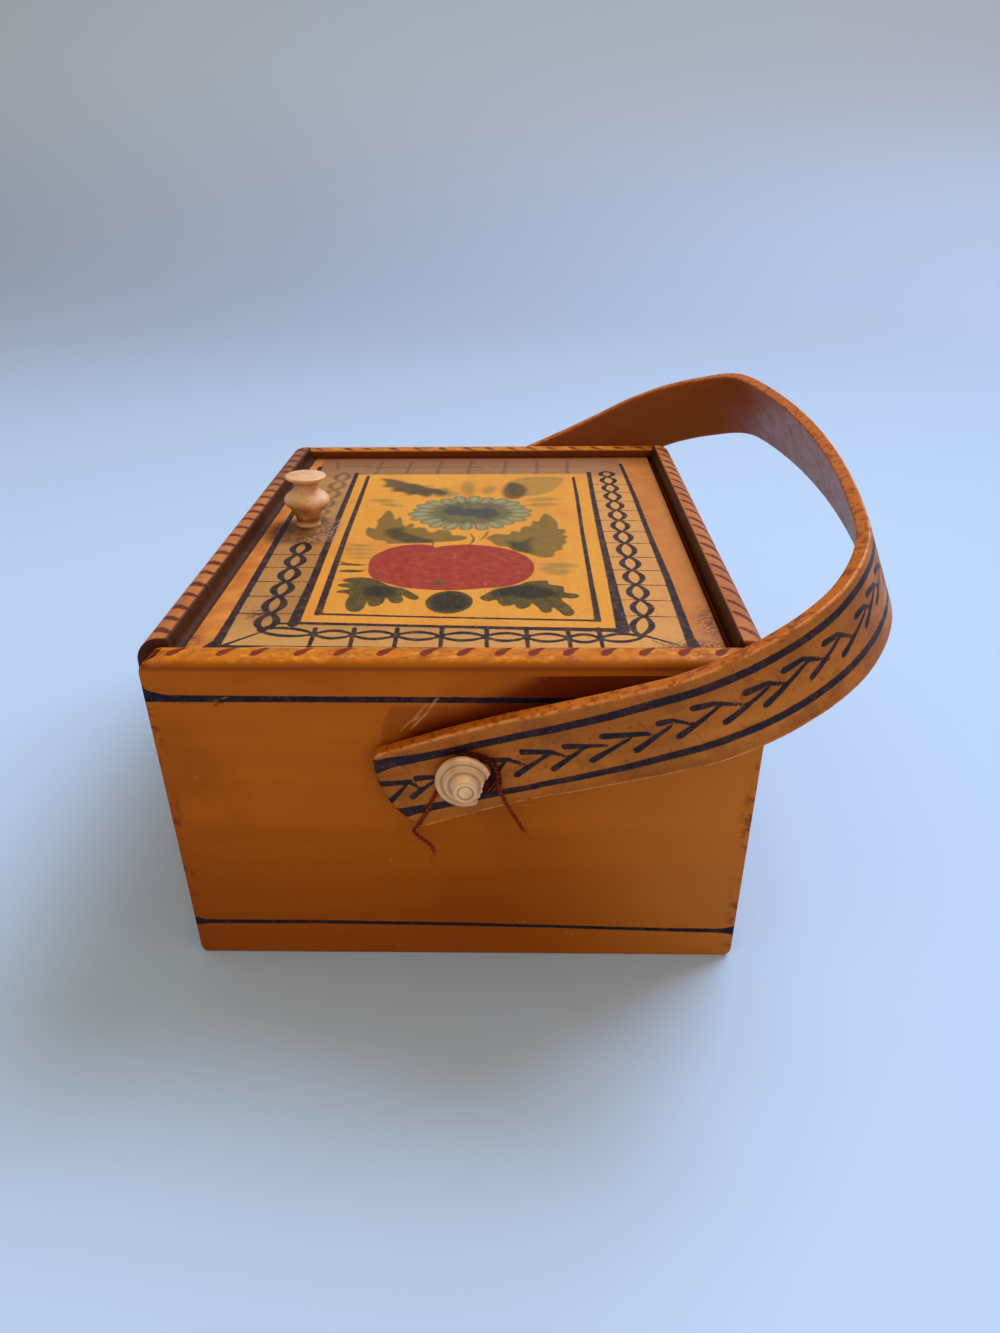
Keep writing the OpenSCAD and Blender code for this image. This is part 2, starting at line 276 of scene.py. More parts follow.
def floor_and_light():
    """A pale seamless floor that curves up behind, a large cool window lamp behind the box on
    the right, and a weak warm lamp in front."""
    front, back, radius = -3.4, 1.1, 0.8
    t = np.linspace(0, 1, 60)
    bend = np.clip((t - 0.55) / 0.3, 0, 1) * np.pi / 2
    run = np.where(t < 0.55, front + t / 0.55 * (back - front), back + radius * np.sin(bend))
    rise = np.where(t < 0.55, 0, radius * (1 - np.cos(bend))) + np.clip(t - 0.85, 0, 1) * 8
    grid = np.stack(np.broadcast_arrays(np.linspace(-4, 4, 41), run[:, None], rise[:, None]), -1)
    rows, columns = grid.shape[:2]
    index = np.arange(rows * columns).reshape(rows, columns)
    quads = np.stack([index[:-1, :-1], index[:-1, 1:], index[1:, 1:], index[1:, :-1]], -1)
    mesh = bpy.data.meshes.new("floor")
    mesh.from_pydata(grid.reshape(-1, 3).tolist(), [], quads.reshape(-1, 4).tolist())
    mesh.polygons.foreach_set("use_smooth", np.ones(len(mesh.polygons), bool))
    finish = Finish("floor_paper", Roughness=0.8, Specular_IOR_Level=0.1)
    # painted shade: the floor darkens towards the right and the back, and the wall behind darkens
    # to the right, evening out the window lamp's pool of light
    wall = finish.mix(finish.along(0, -0.8, 0.8), (170, 178, 188), (146, 147, 153))
    finish.tone = finish.mix(finish.along(0, 0.05, 0.6), (181, 203, 232), (152, 176, 206))
    finish.lay((151, 162, 180), finish.along(1, -0.15, 0.9))
    finish.lay(wall, finish.along(2, 0.0, 0.34))
    mesh.materials.append(finish.out())
    put("floor", mesh)

    # Warm light from all round; the camera sees a pale blue where the floor ends
    world = bpy.data.worlds.new("world")
    bpy.context.scene.world = world
    world.use_nodes = True
    nodes, links = world.node_tree.nodes, world.node_tree.links
    sky = nodes.new("ShaderNodeMix")
    sky.data_type = "RGBA"
    sky.inputs[6].default_value = (0.645, 0.56, 0.43, 1.0)
    sky.inputs[7].default_value = srgb(178, 190, 210)
    links.new(nodes.new("ShaderNodeLightPath").outputs["Is Camera Ray"], sky.inputs[0])
    links.new(sky.outputs[2], nodes["Background"].inputs["Color"])

    for name, (at, size, power, colour) in LAMPS.items():
        lamp = bpy.data.lights.new(name, "AREA")
        lamp.size, lamp.energy, lamp.color = size, power, colour
        back = unit(np.array(at) - LAMP_AIM)
        side = unit(np.cross([0, 0, 1.0], back))
        put(name, lamp).matrix_world = facing(side, np.cross(back, side), back, at)


floor_and_light()


def skin(name, grid, layers=None, uv=None):
    """Closed mesh over grid[i, j]: i counts the rings along the piece, j the points round each
    ring, the last joining the first, and one flat face closes each end. Faces are turned
    outwards where the enclosed volume comes out negative. layers are values per point."""
    rings, around = grid.shape[:2]
    points = grid.reshape(-1, 3) * MM
    index = np.arange(rings * around).reshape(rings, around)
    after = np.roll(index, -1, axis=1)
    quads = np.stack([index[:-1], index[1:], after[1:], after[:-1]], -1).reshape(-1, 4)
    ends = [index[0], index[-1][::-1]]
    corner = points[quads]
    middle = points.mean(0)
    across = np.cross(corner[:, 2] - corner[:, 0], corner[:, 3] - corner[:, 1])
    if (across * (corner.mean(1) - middle)).sum() < 0:
        quads, ends = quads[:, ::-1], [e[::-1] for e in ends]
    mesh = bpy.data.meshes.new(name)
    mesh.from_pydata(points.tolist(), [], quads.tolist() + [e.tolist() for e in ends])
    smooth = np.ones(len(mesh.polygons), bool)
    smooth[-2:] = False
    mesh.polygons.foreach_set("use_smooth", smooth)
    for key, value in (layers or {}).items():
        layer = mesh.attributes.new(key, "FLOAT", "POINT")
        layer.data.foreach_set("value", np.ascontiguousarray(value, np.float32).ravel())
    if uv is not None:
        corners = np.zeros(len(mesh.loops), int)
        mesh.loops.foreach_get("vertex_index", corners)
        flat = np.ascontiguousarray(uv.reshape(-1, 2)[corners] * MM, np.float32)
        mesh.uv_layers.new(name="UVMap").data.foreach_set("uv", flat.ravel())
    return put(name, mesh)


def outline(corners, radii, gaps, turn=5):
    """Closed outline through corners: each is eased by a parabola over about its radius, and
    each straight run after corner k is cut into steps of gaps[k], with one point held close
    to either end so that the rounding stays narrow."""
    corners = np.array(corners, float)
    points = []
    for k, r in enumerate(radii):
        after = (k + 1) % len(corners)
        here, ahead = corners[k], corners[after]
        a, b = unit(corners[k - 1] - here), unit(ahead - here)
        if r > 0:
            t = np.linspace(0, 1, turn)[:, None]
            points.append((1 - t) ** 2 * (here + r * a) + 2 * t * (1 - t) * here
                          + t ** 2 * (here + r * b))
        else:
            points.append(here[None])
        start = here + r * b
        stop = ahead - radii[after] * b
        length = np.linalg.norm(stop - start)
        steps = max(1, int(np.ceil(length / gaps[k])))
        t = np.arange(1, steps) / steps
        if length > 1.5 and gaps[k] > 0.8:
            t = np.unique(np.concatenate([t, [0.4 / length, 1 - 0.4 / length]]))
        points.append(start + t[:, None] * (stop - start))
    return np.concatenate(points)


def drawn_in(ring, depth):
    """Outline moved inwards by depth, along the mean normal of its two neighbours."""
    edge = unit(np.roll(ring, -1, axis=0) - ring)
    mean = unit(edge + np.roll(edge, 1, axis=0))
    area = np.sum(ring[:, 0] * np.roll(ring[:, 1], -1) - ring[:, 1] * np.roll(ring[:, 0], -1))
    inward = np.stack([-mean[:, 1], mean[:, 0]], 1) * np.sign(area)
    return ring + depth * inward


def stations(low, high, step, r, turn=4):
    """Places from low to high along a piece with an end rounding of radius r, as pairs of
    distance from the nearer end and inset. The middle is cut evenly by step."""
    phi = np.linspace(0, np.pi / 2, turn + 1)[:-1]
    e, inset = r * (1 - np.cos(phi)), r * (1 - np.sin(phi))
    middle = np.linspace(low + r, high - r, max(2, int((high - low - 2 * r) / step)))
    place = np.concatenate([low + e, middle, (high - e)[::-1]])
    return place, np.concatenate([inset, np.zeros(middle.size), inset[::-1]])


def from_run(p, a, b):
    """Share of the run from a to b at which each point of p lies nearest, and its distance."""
    d = b - a
    t = np.clip((p - a) @ d / max(d @ d, 1e-9), 0, 1)
    return t, np.hypot(p[:, 0] - a[0] - t * d[0], p[:, 1] - a[1] - t * d[1])


def stroke(at, path, width):
    """Signed distance from at to a brush stroke: a chain of straight runs with round ends,
    whose width changes evenly from point to point. Far points get a large value."""
    path = np.array(path, float)
    half = np.broadcast_to(np.array(width, float) / 2, len(path))
    far = half.max() + 1.5
    near = np.all((at > path.min(0) - far) & (at < path.max(0) + far), axis=-1)
    result = np.full(at.shape[:-1], FAR)
    if not near.any():
        return result
    p = at[near]
    best = np.full(len(p), FAR)
    for a, b, wa, wb in zip(path[:-1], path[1:], half[:-1], half[1:]):
        t, gap = from_run(p, a, b)
        best = np.minimum(best, gap - wa - (wb - wa) * t)
    result[near] = best
    return result


def strokes(at, paths):
    """Signed distance to the nearest of several strokes, given as (path, width) pairs."""
    best = np.full(at.shape[:-1], FAR)
    for path, width in paths:
        best = np.minimum(best, stroke(at, path, width))
    return best


def spline(p0, p1, p2, p3, steps):
    """Smooth cubic from p1 to p2 that heads for p0 and p3 at its ends, cut into steps."""
    t = (np.arange(steps) / steps)[None, :, None]
    p0, p1, p2, p3 = (q[:, None] for q in (p0, p1, p2, p3))
    return (0.5 * (2 * p1 + (p2 - p0) * t + (2 * p0 - 5 * p1 + 4 * p2 - p3) * t ** 2
                   + (3 * p1 - p0 - 3 * p2 + p3) * t ** 3)).reshape(-1, 2)


def blob(at, points):
    """Signed distance to a filled smooth shape, negative inside: the distance to its edge,
    with the sign from counting the edge's crossings of a line to the right."""
    p = np.array(points, float)
    edge = spline(np.roll(p, 1, 0), p, np.roll(p, -1, 0), np.roll(p, -2, 0), 6)
    near = np.all((at > edge.min(0) - 2) & (at < edge.max(0) + 2), axis=-1)
    result = np.full(at.shape[:-1], FAR)
    p = at[near]
    best = np.full(len(p), FAR)
    inside = np.zeros(len(p), bool)
    for a, b in zip(edge, np.roll(edge, -1, 0)):
        best = np.minimum(best, from_run(p, a, b)[1])
        rise = b[1] - a[1] if abs(b[1] - a[1]) > 1e-9 else 1e-9
        cross = a[0] + (p[:, 1] - a[1]) * (b[0] - a[0]) / rise
        inside ^= ((a[1] > p[:, 1]) != (b[1] > p[:, 1])) & (p[:, 0] < cross)
    result[near] = np.where(inside, -best, best)
    return result


def lobes(at, ovals):
    """Signed distance to a bunch of brush dabs: (x, y, half length, half width, degrees)."""
    best = np.full(at.shape[:-1], FAR)
    for x, y, a, b, turn in ovals:
        c, s = np.cos(np.radians(turn)), np.sin(np.radians(turn))
        u = ((at[..., 0] - x) * c + (at[..., 1] - y) * s) / a
        v = ((at[..., 1] - y) * c - (at[..., 0] - x) * s) / b
        r = np.hypot(u, v)
        best = np.minimum(best, (r - 1) * min(a, b))
    return best


NAVY = (20, 18, 32)
PLUM = (104, 24, 20)


def varnish(name, gloss=0.09):
    """Finish with a thin dull coat."""
    return Finish(name, Coat_Weight=0.02, Coat_Roughness=0.3, Specular_IOR_Level=gloss)


def case_finish():
    """Front and back boards: orange varnish, dark blue lines, dark red dashes on top."""
    finish = varnish("case_varnish")
    fibre = finish.wood((176, 92, 1), (166, 83, 1), (139, 64, 0), (0.06, 1, 1))
    finish.lay((128, 56, 0), finish.along(2, 0.045, 0.008, 0.7))
    finish.lay((192, 116, 42), finish.along(0, 0.01, 0.055, 0.5))
    finish.lay((118, 52, 8), finish.where("disc", 0.3, -0.6, 0.5))
    # painted shade and dark reflection where the resting handle keeps light off the front board
    finish.lay((90, 18, 0), finish.where("handle_shade", 2.2, -2.0, 0.9))
    finish.lay((84, 36, 6), finish.flecks(380, 0.5, 0.62, 0.75), finish.attribute("corner"))
    finish.lay((110, 48, 6), finish.along(2, 0.0664, 0.0672, 0.6),
               finish.along(2, 0.0679, 0.0673))
    finish.lay((200, 114, 12), finish.where("top_edge", 0.2, 1.0, 0.9))
    finish.lay((226, 156, 60), finish.flecks(560, 0.54, 0.64, rough=0.6, stretch=(0.7, 1, 1)),
               finish.where("top_edge", 0.3, 1.0, 0.5))
    finish.lay((156, 84, 36), finish.flecks(420, 0.47, 0.6, rough=0.65, stretch=(0.6, 1, 1)),
               finish.where("top_edge", 0.3, 1.0, 0.6))
    finish.lay((120, 58, 20), finish.where("scuff", 0.9, -0.9, 0.6),
               finish.flecks(900, 0.42, 0.56))
    finish.lay((98, 44, 12), finish.where("inside", 0.0, 1.0, 0.9))
    paint = finish.paint([("ink", NAVY, 1.0, 0.12), ("dash", PLUM, 0.92, 0.2),
                          ("crack", (56, 22, 8), 0.9, 0.12),
                          ("scratch", (214, 148, 84), 0.62, 0.2)])
    return finish.varnished(fibre, paint)


def end_finish(name, grain):
    """Left and right boards and the bottom: the same varnish with nothing painted on it."""
    finish = varnish(name)
    fibre = finish.wood((186, 98, 12), (168, 82, 6), (142, 66, 6), grain)
    return finish.varnished(fibre, None, 0.38, 0.52)


def rail_finish():
    """Rails: brown varnish with slanting plum dashes; the inner side and the ends are dark old
    varnish with painted shade of the gap beside the lid.
    """
    finish = varnish("rail_varnish")
    fibre = finish.wood((212, 134, 74), (188, 109, 54), (144, 76, 36), (1, 0.06, 1))
    finish.lay((112, 52, 26), finish.flecks(700, 0.54, 0.66, 0.5))
    finish.lay((104, 58, 34), finish.along(0, -0.045, -0.05), finish.along(1, 0.0, 0.06, 0.65))
    paint = finish.paint([("dash", (86, 20, 14), 0.94, 0.25)], 0.4, (0.56, 0.66))
    # inner side and ends: dark old varnish with painted shade of the gap and crease beside the lid
    dark_varnish_and_shade = finish.mix(finish.flecks(600, 0.4, 0.7, rough=0.5), (40, 14, 3), (62, 26, 9))
    finish.lay(dark_varnish_and_shade, finish.where("inner", 0.0, 1.0, 0.95))
    return finish.varnished(fibre, paint, 0.4, 0.56, 0.04)


def lid_finish():
    """Lid: a yellow panel in a paler border, painted with fruit, leaves and a daisy."""
    finish = varnish("lid_paint")
    finish.wood((180, 128, 70), (168, 115, 60), (158, 104, 54), (1, 0.06, 1))
    finish.lay((208, 152, 84), finish.along(1, -0.05, -0.064, 0.6))
    finish.lay((214, 148, 80), finish.along(0, -0.01, 0.03, 0.7))
    finish.lay((140, 96, 66), finish.along(1, 0.044, 0.054, 0.8))
    border = finish.tone
    finish.tone = finish.mix(finish.span(finish.noise(150), 0.35, 0.65), (216, 134, 56),
                             (190, 108, 44))
    finish.lay((186, 114, 52), finish.along(0, 0.0, 0.05, 0.75))
    margin = finish.tone
    fibre = finish.wood((220, 150, 54), (212, 140, 48), (198, 122, 44), (1, 0.06, 1))
    finish.lay(border, finish.where("panel", -0.4, 0.4))
    finish.lay(margin, finish.where("margin", -0.3, 0.3))
    # painted shade of the back board along the lid's back edge
    finish.lay((122, 72, 40), finish.along(1, 0.055, 0.071, 0.7))
    patchy = finish.noise(420, detail=4.0, rough=0.65)
    # brown stain round the knob's foot, with the knob's shadow and reflection painted into it
    finish.lay((102, 58, 30), finish.where("stain", 1.2, -3.0),
               finish.span(patchy, 0.3, 0.6, 0.5, 0.95))
    paint = finish.paint([
        ("pale", (142, 112, 50), 0.72, 0.9), ("olive", (104, 86, 36), 0.88, 0.4),
        ("shade", (58, 52, 36), 0.86, 1.1), ("green", (58, 56, 28), 0.94, 0.2),
        ("deep", (34, 34, 24), 0.85, 1.0), ("apple", (150, 42, 36), 0.98, 0.14),
        ("fleck", (92, 74, 40), 0.85, 0.4), ("daisy", (94, 94, 60), 0.95, 0.35),
        ("petal", (150, 148, 104), 0.85, 0.6), ("eye", (62, 62, 66), 0.85, 1.1),
        ("stem", (120, 60, 26), 0.8, 0.15), ("ink", NAVY, 0.97, 0.12),
        ("faint", (72, 56, 50), 0.72, 0.6), ("scratch", (222, 158, 116), 0.5, 0.1)])
    finish.lay((206, 182, 140), finish.flecks(1500, 0.67, 0.71, 0.6, 3.0),
               finish.along(1, -0.02, -0.05))
    finish.lay((122, 66, 30), finish.flecks(1300, 0.61, 0.66, 0.5))
    finish.lay((180, 132, 108), finish.where("worn", 0.6, -1.6, 0.8),
               finish.flecks(1100, 0.46, 0.58, detail=5.0))
    finish.lay((78, 50, 42), finish.where("dirt", 1.5, -3.0),
               finish.flecks(1100, 0.42, 0.56, detail=5.0))
    return finish.varnished(fibre, paint, grain=0.02, scale=260)


def handle_finish():
    """Handle: brown varnish along the bend, dark blue stripes and strokes, a rubbed rim with a
    painted highlight along its crest, and a painted sky sheen on the inner face.
    """
    finish = varnish("handle_varnish", 0.13)
    fibre = finish.wood((184, 108, 34), (156, 84, 20), (114, 56, 12), (0.05, 1, 1), "UV")
    finish.lay((104, 52, 20), finish.flecks(1000, 0.56, 0.66, 0.5))
    finish.lay((122, 62, 20), finish.flecks(140, 0.45, 0.66, 0.5, rough=0.6))
    edge = finish.mix(finish.flecks(600, 0.46, 0.62, rough=0.65), (190, 100, 20), (140, 68, 16))
    finish.lay(edge, finish.attribute("rim"))
    # inner face: brown at the back end, turning to a painted lavender sheen of the sky towards the
    # front
    inner_face_and_sheen = finish.mix(finish.along(1, 0.056, 0.03), (130, 66, 28), (146, 106, 98))
    finish.lay(inner_face_and_sheen, finish.where("inside", 0.0, 1.0, 0.85))
    # worn paler varnish and a painted highlight along the band's outer top corner
    finish.lay((232, 154, 88), finish.where("crest_wear_and_highlight", 0.2, -0.2, 0.6),
               finish.flecks(350, 0.4, 0.55))
    paint = finish.paint([("ink", NAVY, 0.98, 0.12)], 0.2)
    return finish.varnished(fibre, paint, 0.36, 0.5, 0.04)


def bone_finish(name, light, deep):
    """Turned bone: pale, with fine dark streaks in its hollows and a soft gloss."""
    finish = Finish(name, Coat_Weight=0.08, Coat_Roughness=0.25, Specular_IOR_Level=0.3,
                    Subsurface_Weight=0.15, Subsurface_Scale=0.002)
    streak = finish.noise(700, (1, 1, 0.25), 4.0, 0.6)
    cloud = finish.noise(260)
    drip = finish.noise(500, (1, 1, 0.2), 3.0, 0.6)
    finish.tone = finish.mix(finish.span(cloud, 0.35, 0.7), light, deep)
    finish.lay((150, 104, 68), finish.span(streak, 0.55, 0.72, 0.0, 0.5))
    finish.lay((176, 112, 46), finish.attribute("tea"), finish.span(drip, 0.35, 0.65, 0.45, 1.0))
    finish.lay((118, 74, 40), finish.where("hollow", 0.0, 1.0, 0.8))
    return finish.out(finish.span(cloud, 0.3, 0.7, 0.38, 0.52), finish.bump(streak, 0.03))


def thread_finish(name, light, deep):
    """Dark red cotton thread with paler fibres."""
    finish = Finish(name, Roughness=0.85, Specular_IOR_Level=0.1)
    fibre = finish.noise(5000, detail=2.0)
    finish.tone = finish.mix(finish.span(fibre, 0.35, 0.7), deep, light)
    # painted shade on the thread where it lies under and beside the flange
    finish.lay((40, 14, 10), finish.attribute("flange_shade"), 0.8)
    return finish.out(None, finish.bump(fibre, 0.05))


case_varnish = case_finish()
rail_varnish = rail_finish()
lid_paint = lid_finish()
handle_varnish = handle_finish()


def dress(piece, material, body, *nodes, slot):
    piece.data.materials.append(material)
    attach(piece, body)
    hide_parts(*nodes)


# Middle of each dash on the long boards' top edge, in X
DASHES = [-51.4, -42.3, -36.2, -28.2, -21.0, -13.2, -5.4, 1.2, 8.0, 14.0, 20.2, 27.0, 33.8,
          40.8, 47.4, 53.6]

# Painted shade and dark reflection of the resting handle on the front board's varnish, outlined in
# X and Z of the front board
HANDLE_SHADE_OUTLINE = [
    (-10, 49), (-8, 54.6), (0, 58.4), (6, 61), (12, 64), (19, 67.6), (32, 69.2), (46, 69.4),
    (53, 66), (45, 58), (20, 52), (0, 46)]


def board_outline():
    """Section of the front board, y and z: rounded outer top edge, groove for the lid."""
    y0, y1 = -half_y(0), -half_y(BODY_H)
    groove_top, groove_low = LID_TOP + LID_PLAY, LID_TOP - LID_T - LID_PLAY
    corners = [[y0, 0], [y1, BODY_H], [y1 + BOARD_T, BODY_H],
               [BOARD_T - half_y(groove_top), groove_top], [-GROOVE_Y, groove_top],
               [-GROOVE_Y, groove_low], [BOARD_T - half_y(groove_low), groove_low],
               [y0 + BOARD_T, 0]]
    return outline(corners, [0.5, EDGE_R, 0.4, 0.15, 0, 0, 0.15, 0.4],
                   [0.55, 0.45, 0.8, 0.8, 1.2, 0.8, 9, 2], 7)


def make_board(name, node, side):
    """Board whose section is carried from end to end. The ends lean and have round corners:
    the half length at height z follows the case's lean and a quarter circle at the top."""
    ring = board_outline()
    level = ring[:, 1]
    up = np.clip(level - (BODY_H - CORNER_R), 0, CORNER_R)
    down = np.clip(FOOT_R - level, 0, FOOT_R)
    half = (half_x(level) - CORNER_R + np.sqrt(CORNER_R ** 2 - up ** 2)
            - FOOT_R + np.sqrt(FOOT_R ** 2 - down ** 2))
    ease, share = 0.4, 0.004  # end rounding in mm, and as a share of the length
    place, inset = stations(0, 1, 0.0045, share)
    grid = []
    for t, d in zip(place, inset / share * ease):
        y, z = drawn_in(ring, d).T
        reach = np.clip(min(t, 1 - t) / share, 0, 1)
        across = (t - share) / (1 - 2 * share) * 2 - 1
        x = np.clip(across, -1, 1) * (half - ease) + np.sign(across) * ease * (1 - reach)
        if x[0] > RIGHT_WALL_X and d == 0:
            floor_y = -half_y(z) + BOARD_T - 0.03
            y = np.where((z > 60) & (z < 68) & (y > -73.5), np.maximum(y, floor_y), y)
        grid.append(np.stack([x, side * -y, z], 1))
    grid = np.array(grid)
    at = grid[..., [0, 2]]
    x, z = at[..., 0], at[..., 1]
    outer = np.abs(grid[..., 1]) > half_y(z) - 0.8
    lines = strokes(at, [
        ([[-57.5, 61.9], [-55.5, 61.5], [-52.5, 61.1], [-30, 61.0], [20, 60.8], [53, 60.9],
          [55.5, 61.2], [57.5, 61.5]], [3.4, 2.2, 1.5, 1.3, 1.15, 1.3, 1.7, 2.6]),
        ([[-56, 8.5], [-53, 8.3], [-30, 8.4], [0, 8.0], [20, 7.5], [40, 6.9], [52, 6.7],
          [54, 6.7], [56, 6.7]], [2.4, 1.1, 0.9, 0.9, 0.8, 0.9, 1.1, 1.6, 3.0])])
    cracks = strokes(at, [([[-57.2, 63.6], [-52.5, 62.4]], [0.3, 0.15]),
                          ([[-50, 60.2], [-47, 59.9], [-44.5, 59.9], [-42.3, 60.2]],
                           [0.12, 0.25, 0.2, 0.3]),
                          ([[-44, 59.6], [-42.4, 60.3]], [0.4, 0.2])])
    scratches = strokes(at, [
        ([[-10.4, 54.2], [-8.6, 56.2], [-7.6, 56.8], [-6, 59.2], [-5, 60]],
         [0.2, 0.35, 0.5, 0.25, 0.2]),
        ([[-8.6, 54.4], [-6.8, 56.6], [-5.4, 58], [-3.6, 60.8], [-3, 61.4]],
         [0.2, 0.5, 0.3, 0.4, 0.2]),
        ([[40.5, 46.3], [48, 48.4], [55.5, 50.4]], [0.1, 0.2, 0.15]),
        ([[-50.2, 44.6], [-49.3, 42.8]], [0.15, 0.1]), ([[-14, 24.6], [-13.2, 24.1]], 0.22),
        ([[21.4, 5.9], [22.6, 5.2]], 0.3), ([[-14.2, 2.8], [-13.4, 1.9]], 0.28),
        ([[10.8, 9.1], [12.6, 8.7]], 0.2), ([[11.4, 37.6], [14, 37.9]], 0.16),
        ([[-44, 60.6], [-41, 61.6]], 0.15), ([[-25, 26.9], [-24.2, 26.4]], 0.2)])
    spot = np.stack([x, grid[..., 1] * -side], -1)
    scuffs = lobes(spot, [(-48.3, -72.3, 0.9, 2.4, -25), (-18.3, -72.9, 1.9, 1.3, 0),
                          (-5.4, -73.6, 2.6, 0.9, 0), (20.5, -74, 3.4, 0.7, 0),
                          (44.6, -72.6, 2.6, 1.6, 0), (52, -72.4, 2.6, 1.8, 0),
                          (-33.5, -71.2, 1.5, 0.5, 10), (-54, -72.6, 1.8, 1.6, 0)])
    tall = [([[p - 0.2, -72.6], [p + 0.2, -71.8], [p + 1.0, -70.8], [p + 2.2, -69.9]],
             [1.5, 2.0, 1.3, 0.5]) for p in DASHES]
    dashes = strokes(spot, tall)
    far = np.full(x.shape, FAR)
    front = outer & (z < 66) & (side < 0)
    layers = {"ink": np.where(outer & (z < 66), lines, far), "crack": np.where(front, cracks, far),
              "scratch": np.where(front, scratches, far),
              "disc": np.where(front, np.maximum.reduce([
                  np.hypot(x - PIVOT[0], z - PIVOT[2]) - 15.6, (z - 59.6) * 1.5, x / 4]), far),
              "handle_shade": np.where(front, blob(at, HANDLE_SHADE_OUTLINE), far),
              "corner": np.where(outer, np.clip((np.abs(x) - half_x(z) + 2.6) / 2, 0, 1), 0.0),
              "dash": np.where(z > 67.2, dashes, far), "scuff": np.where(z > 67.2, scuffs, far),
              "inside": np.where((np.abs(grid[..., 1]) < half_y(z) - 3) & (z < 68.6), 1.0, 0.0),
              "top_edge": np.clip((z - (BODY_H - 1.4)) / 1.4, 0, 1)}
    dress(skin(name, grid, layers), case_varnish, "case", node, slot="case_wood")


make_board("front_board_painted", "front_board", -1)
make_board("back_board_painted", "back_board", 1)

end_varnish = end_finish("end_varnish", (1, 0.06, 1))
bare_wood = end_finish("bottom_wood", (0.06, 1, 1))
for node, material in (("left_board", end_varnish), ("right_board", end_varnish),
                       ("bottom_board", bare_wood)):
    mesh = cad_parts[node].data
    mesh.materials.clear()
    mesh.materials.append(material)


def rail_grid(ring, half_at, r=0.35):
    """Outline in x and z carried along Y between the two long boards."""
    place, inset = stations(-1, 1, 0.0085, 0.005)
    grid = []
    for t, d in zip(place, inset / 0.005 * r):
        x, z = drawn_in(ring, d).T
        grid.append(np.stack([x, np.sign(t) * half_at(ring[:, 1]) * abs(t), z], 1))
    return np.array(grid)


def slanting_dashes(at, outer, inner, first, pitch, count, seed):
    """Row of slanting brush dashes along Y, from the outer side forward to the inner side."""
    rng = np.random.default_rng(seed)
    paths = []
    for k in range(count):
        y = first + pitch * k + rng.uniform(-0.6, 0.6)
        w = rng.uniform(1.5, 2.1)
        paths.append(([[outer, y - 1.6], [outer + 0.45 * (inner - outer), y - 0.3],
                       [inner, y + 1.6]] if outer > inner else
                      [[inner, y - 1.6], [inner + 0.5 * (outer - inner), y - 0.2],
                       [outer, y + 1.8]], [w * 0.7, w, w * 0.45]))
    return strokes(at, paths)


def make_right_rail():
    """Quarter round on the right board."""
    low = RAIL_TOP - RIGHT_RAIL_H
    out, inn = half_x(low), half_x(low) - BOARD_T
    arc = np.linspace(0, np.pi / 2, 18)
    quarter = np.stack([out - RIGHT_RAIL_R + RIGHT_RAIL_R * np.cos(arc),
                        RAIL_TOP - RIGHT_RAIL_R + RIGHT_RAIL_R * np.sin(arc)], 1)
    flat = np.linspace([out - RIGHT_RAIL_R, RAIL_TOP], [inn + 0.4, RAIL_TOP], 4)[1:]
    wall = np.linspace([inn, RAIL_TOP - 0.4], [inn, low + 0.2], 6)
    foot = np.linspace([inn + 0.2, low], [out, low], 4)
    ring = np.concatenate([quarter, flat, wall, foot])
    grid = rail_grid(ring, lambda z: half_y(z) - BOARD_T)
    at = grid[..., :2]
    dash = slanting_dashes(at, 55.9, 52.4, -65.0, 6.45, 21, 3)
    dash = np.where(grid[..., 2] > low + 2.5, dash, FAR)
    # inner face beside the lid, which takes dark varnish and painted shade
    inner = np.clip((inn + 0.9 - grid[..., 0]) / 0.5, 0, 1)
    dress(skin("right_rail_painted", grid, {"dash": dash, "inner": inner}), rail_varnish,
          "case", "right_rail", slot="rail_wood")


def make_lid_rail():
    """Rail on the lid's left end: quarter round outside, small cove down to the lid."""
    top_in, cove = LID_RAIL_OUT + LID_RAIL_W, 1.5
    low = LID_TOP - LID_T + 0.1
    arc = np.linspace(np.pi, np.pi / 2, 20)
    quarter = np.stack([LID_RAIL_OUT + LID_RAIL_R + LID_RAIL_R * np.cos(arc),
                        RAIL_TOP - LID_RAIL_R + LID_RAIL_R * np.sin(arc)], 1)
    flat = np.linspace([LID_RAIL_OUT + LID_RAIL_R, RAIL_TOP], [top_in - 0.3, RAIL_TOP], 4)[1:]
    arc = np.linspace(np.pi, 1.5 * np.pi, 8)
    hollow = np.stack([top_in + cove + cove * np.cos(arc),
                       LID_TOP + cove + cove * np.sin(arc)], 1)
    wall = np.linspace([top_in, RAIL_TOP - 0.3], hollow[0], 5)[:-1]
    under = np.linspace([LID_LEFT, LID_TOP], [LID_LEFT, low], 4)
    foot = np.linspace([LID_LEFT - 0.3, low], [LID_RAIL_OUT, low], 3)
    side = np.linspace([LID_RAIL_OUT, low], quarter[0], 5)[1:-1]
    ring = np.concatenate([quarter, flat, wall, hollow, under, foot, side])[::-1]
    grid = rail_grid(ring, lambda z: RAIL_HALF + 0 * z)
    at = grid[..., :2]
    dash = slanting_dashes(at, -57.9, -53.6, -64.8, 5.95, 23, 5)
    dash = np.where(grid[..., 2] > RAIL_TOP - 3, dash, FAR)
    # inner face and ends, which take dark varnish and painted shade
    inner = np.clip((grid[..., 0] - (top_in - 0.7)) / 0.5, 0, 1)
    inner = np.where(np.abs(grid[..., 1]) > RAIL_HALF - 0.5, 1.0, inner)
    dress(skin("lid_rail_painted", grid, {"dash": dash, "inner": inner}), rail_varnish,
          "lid", "lid_end_rail", slot="rail_wood")


make_right_rail()
make_lid_rail()


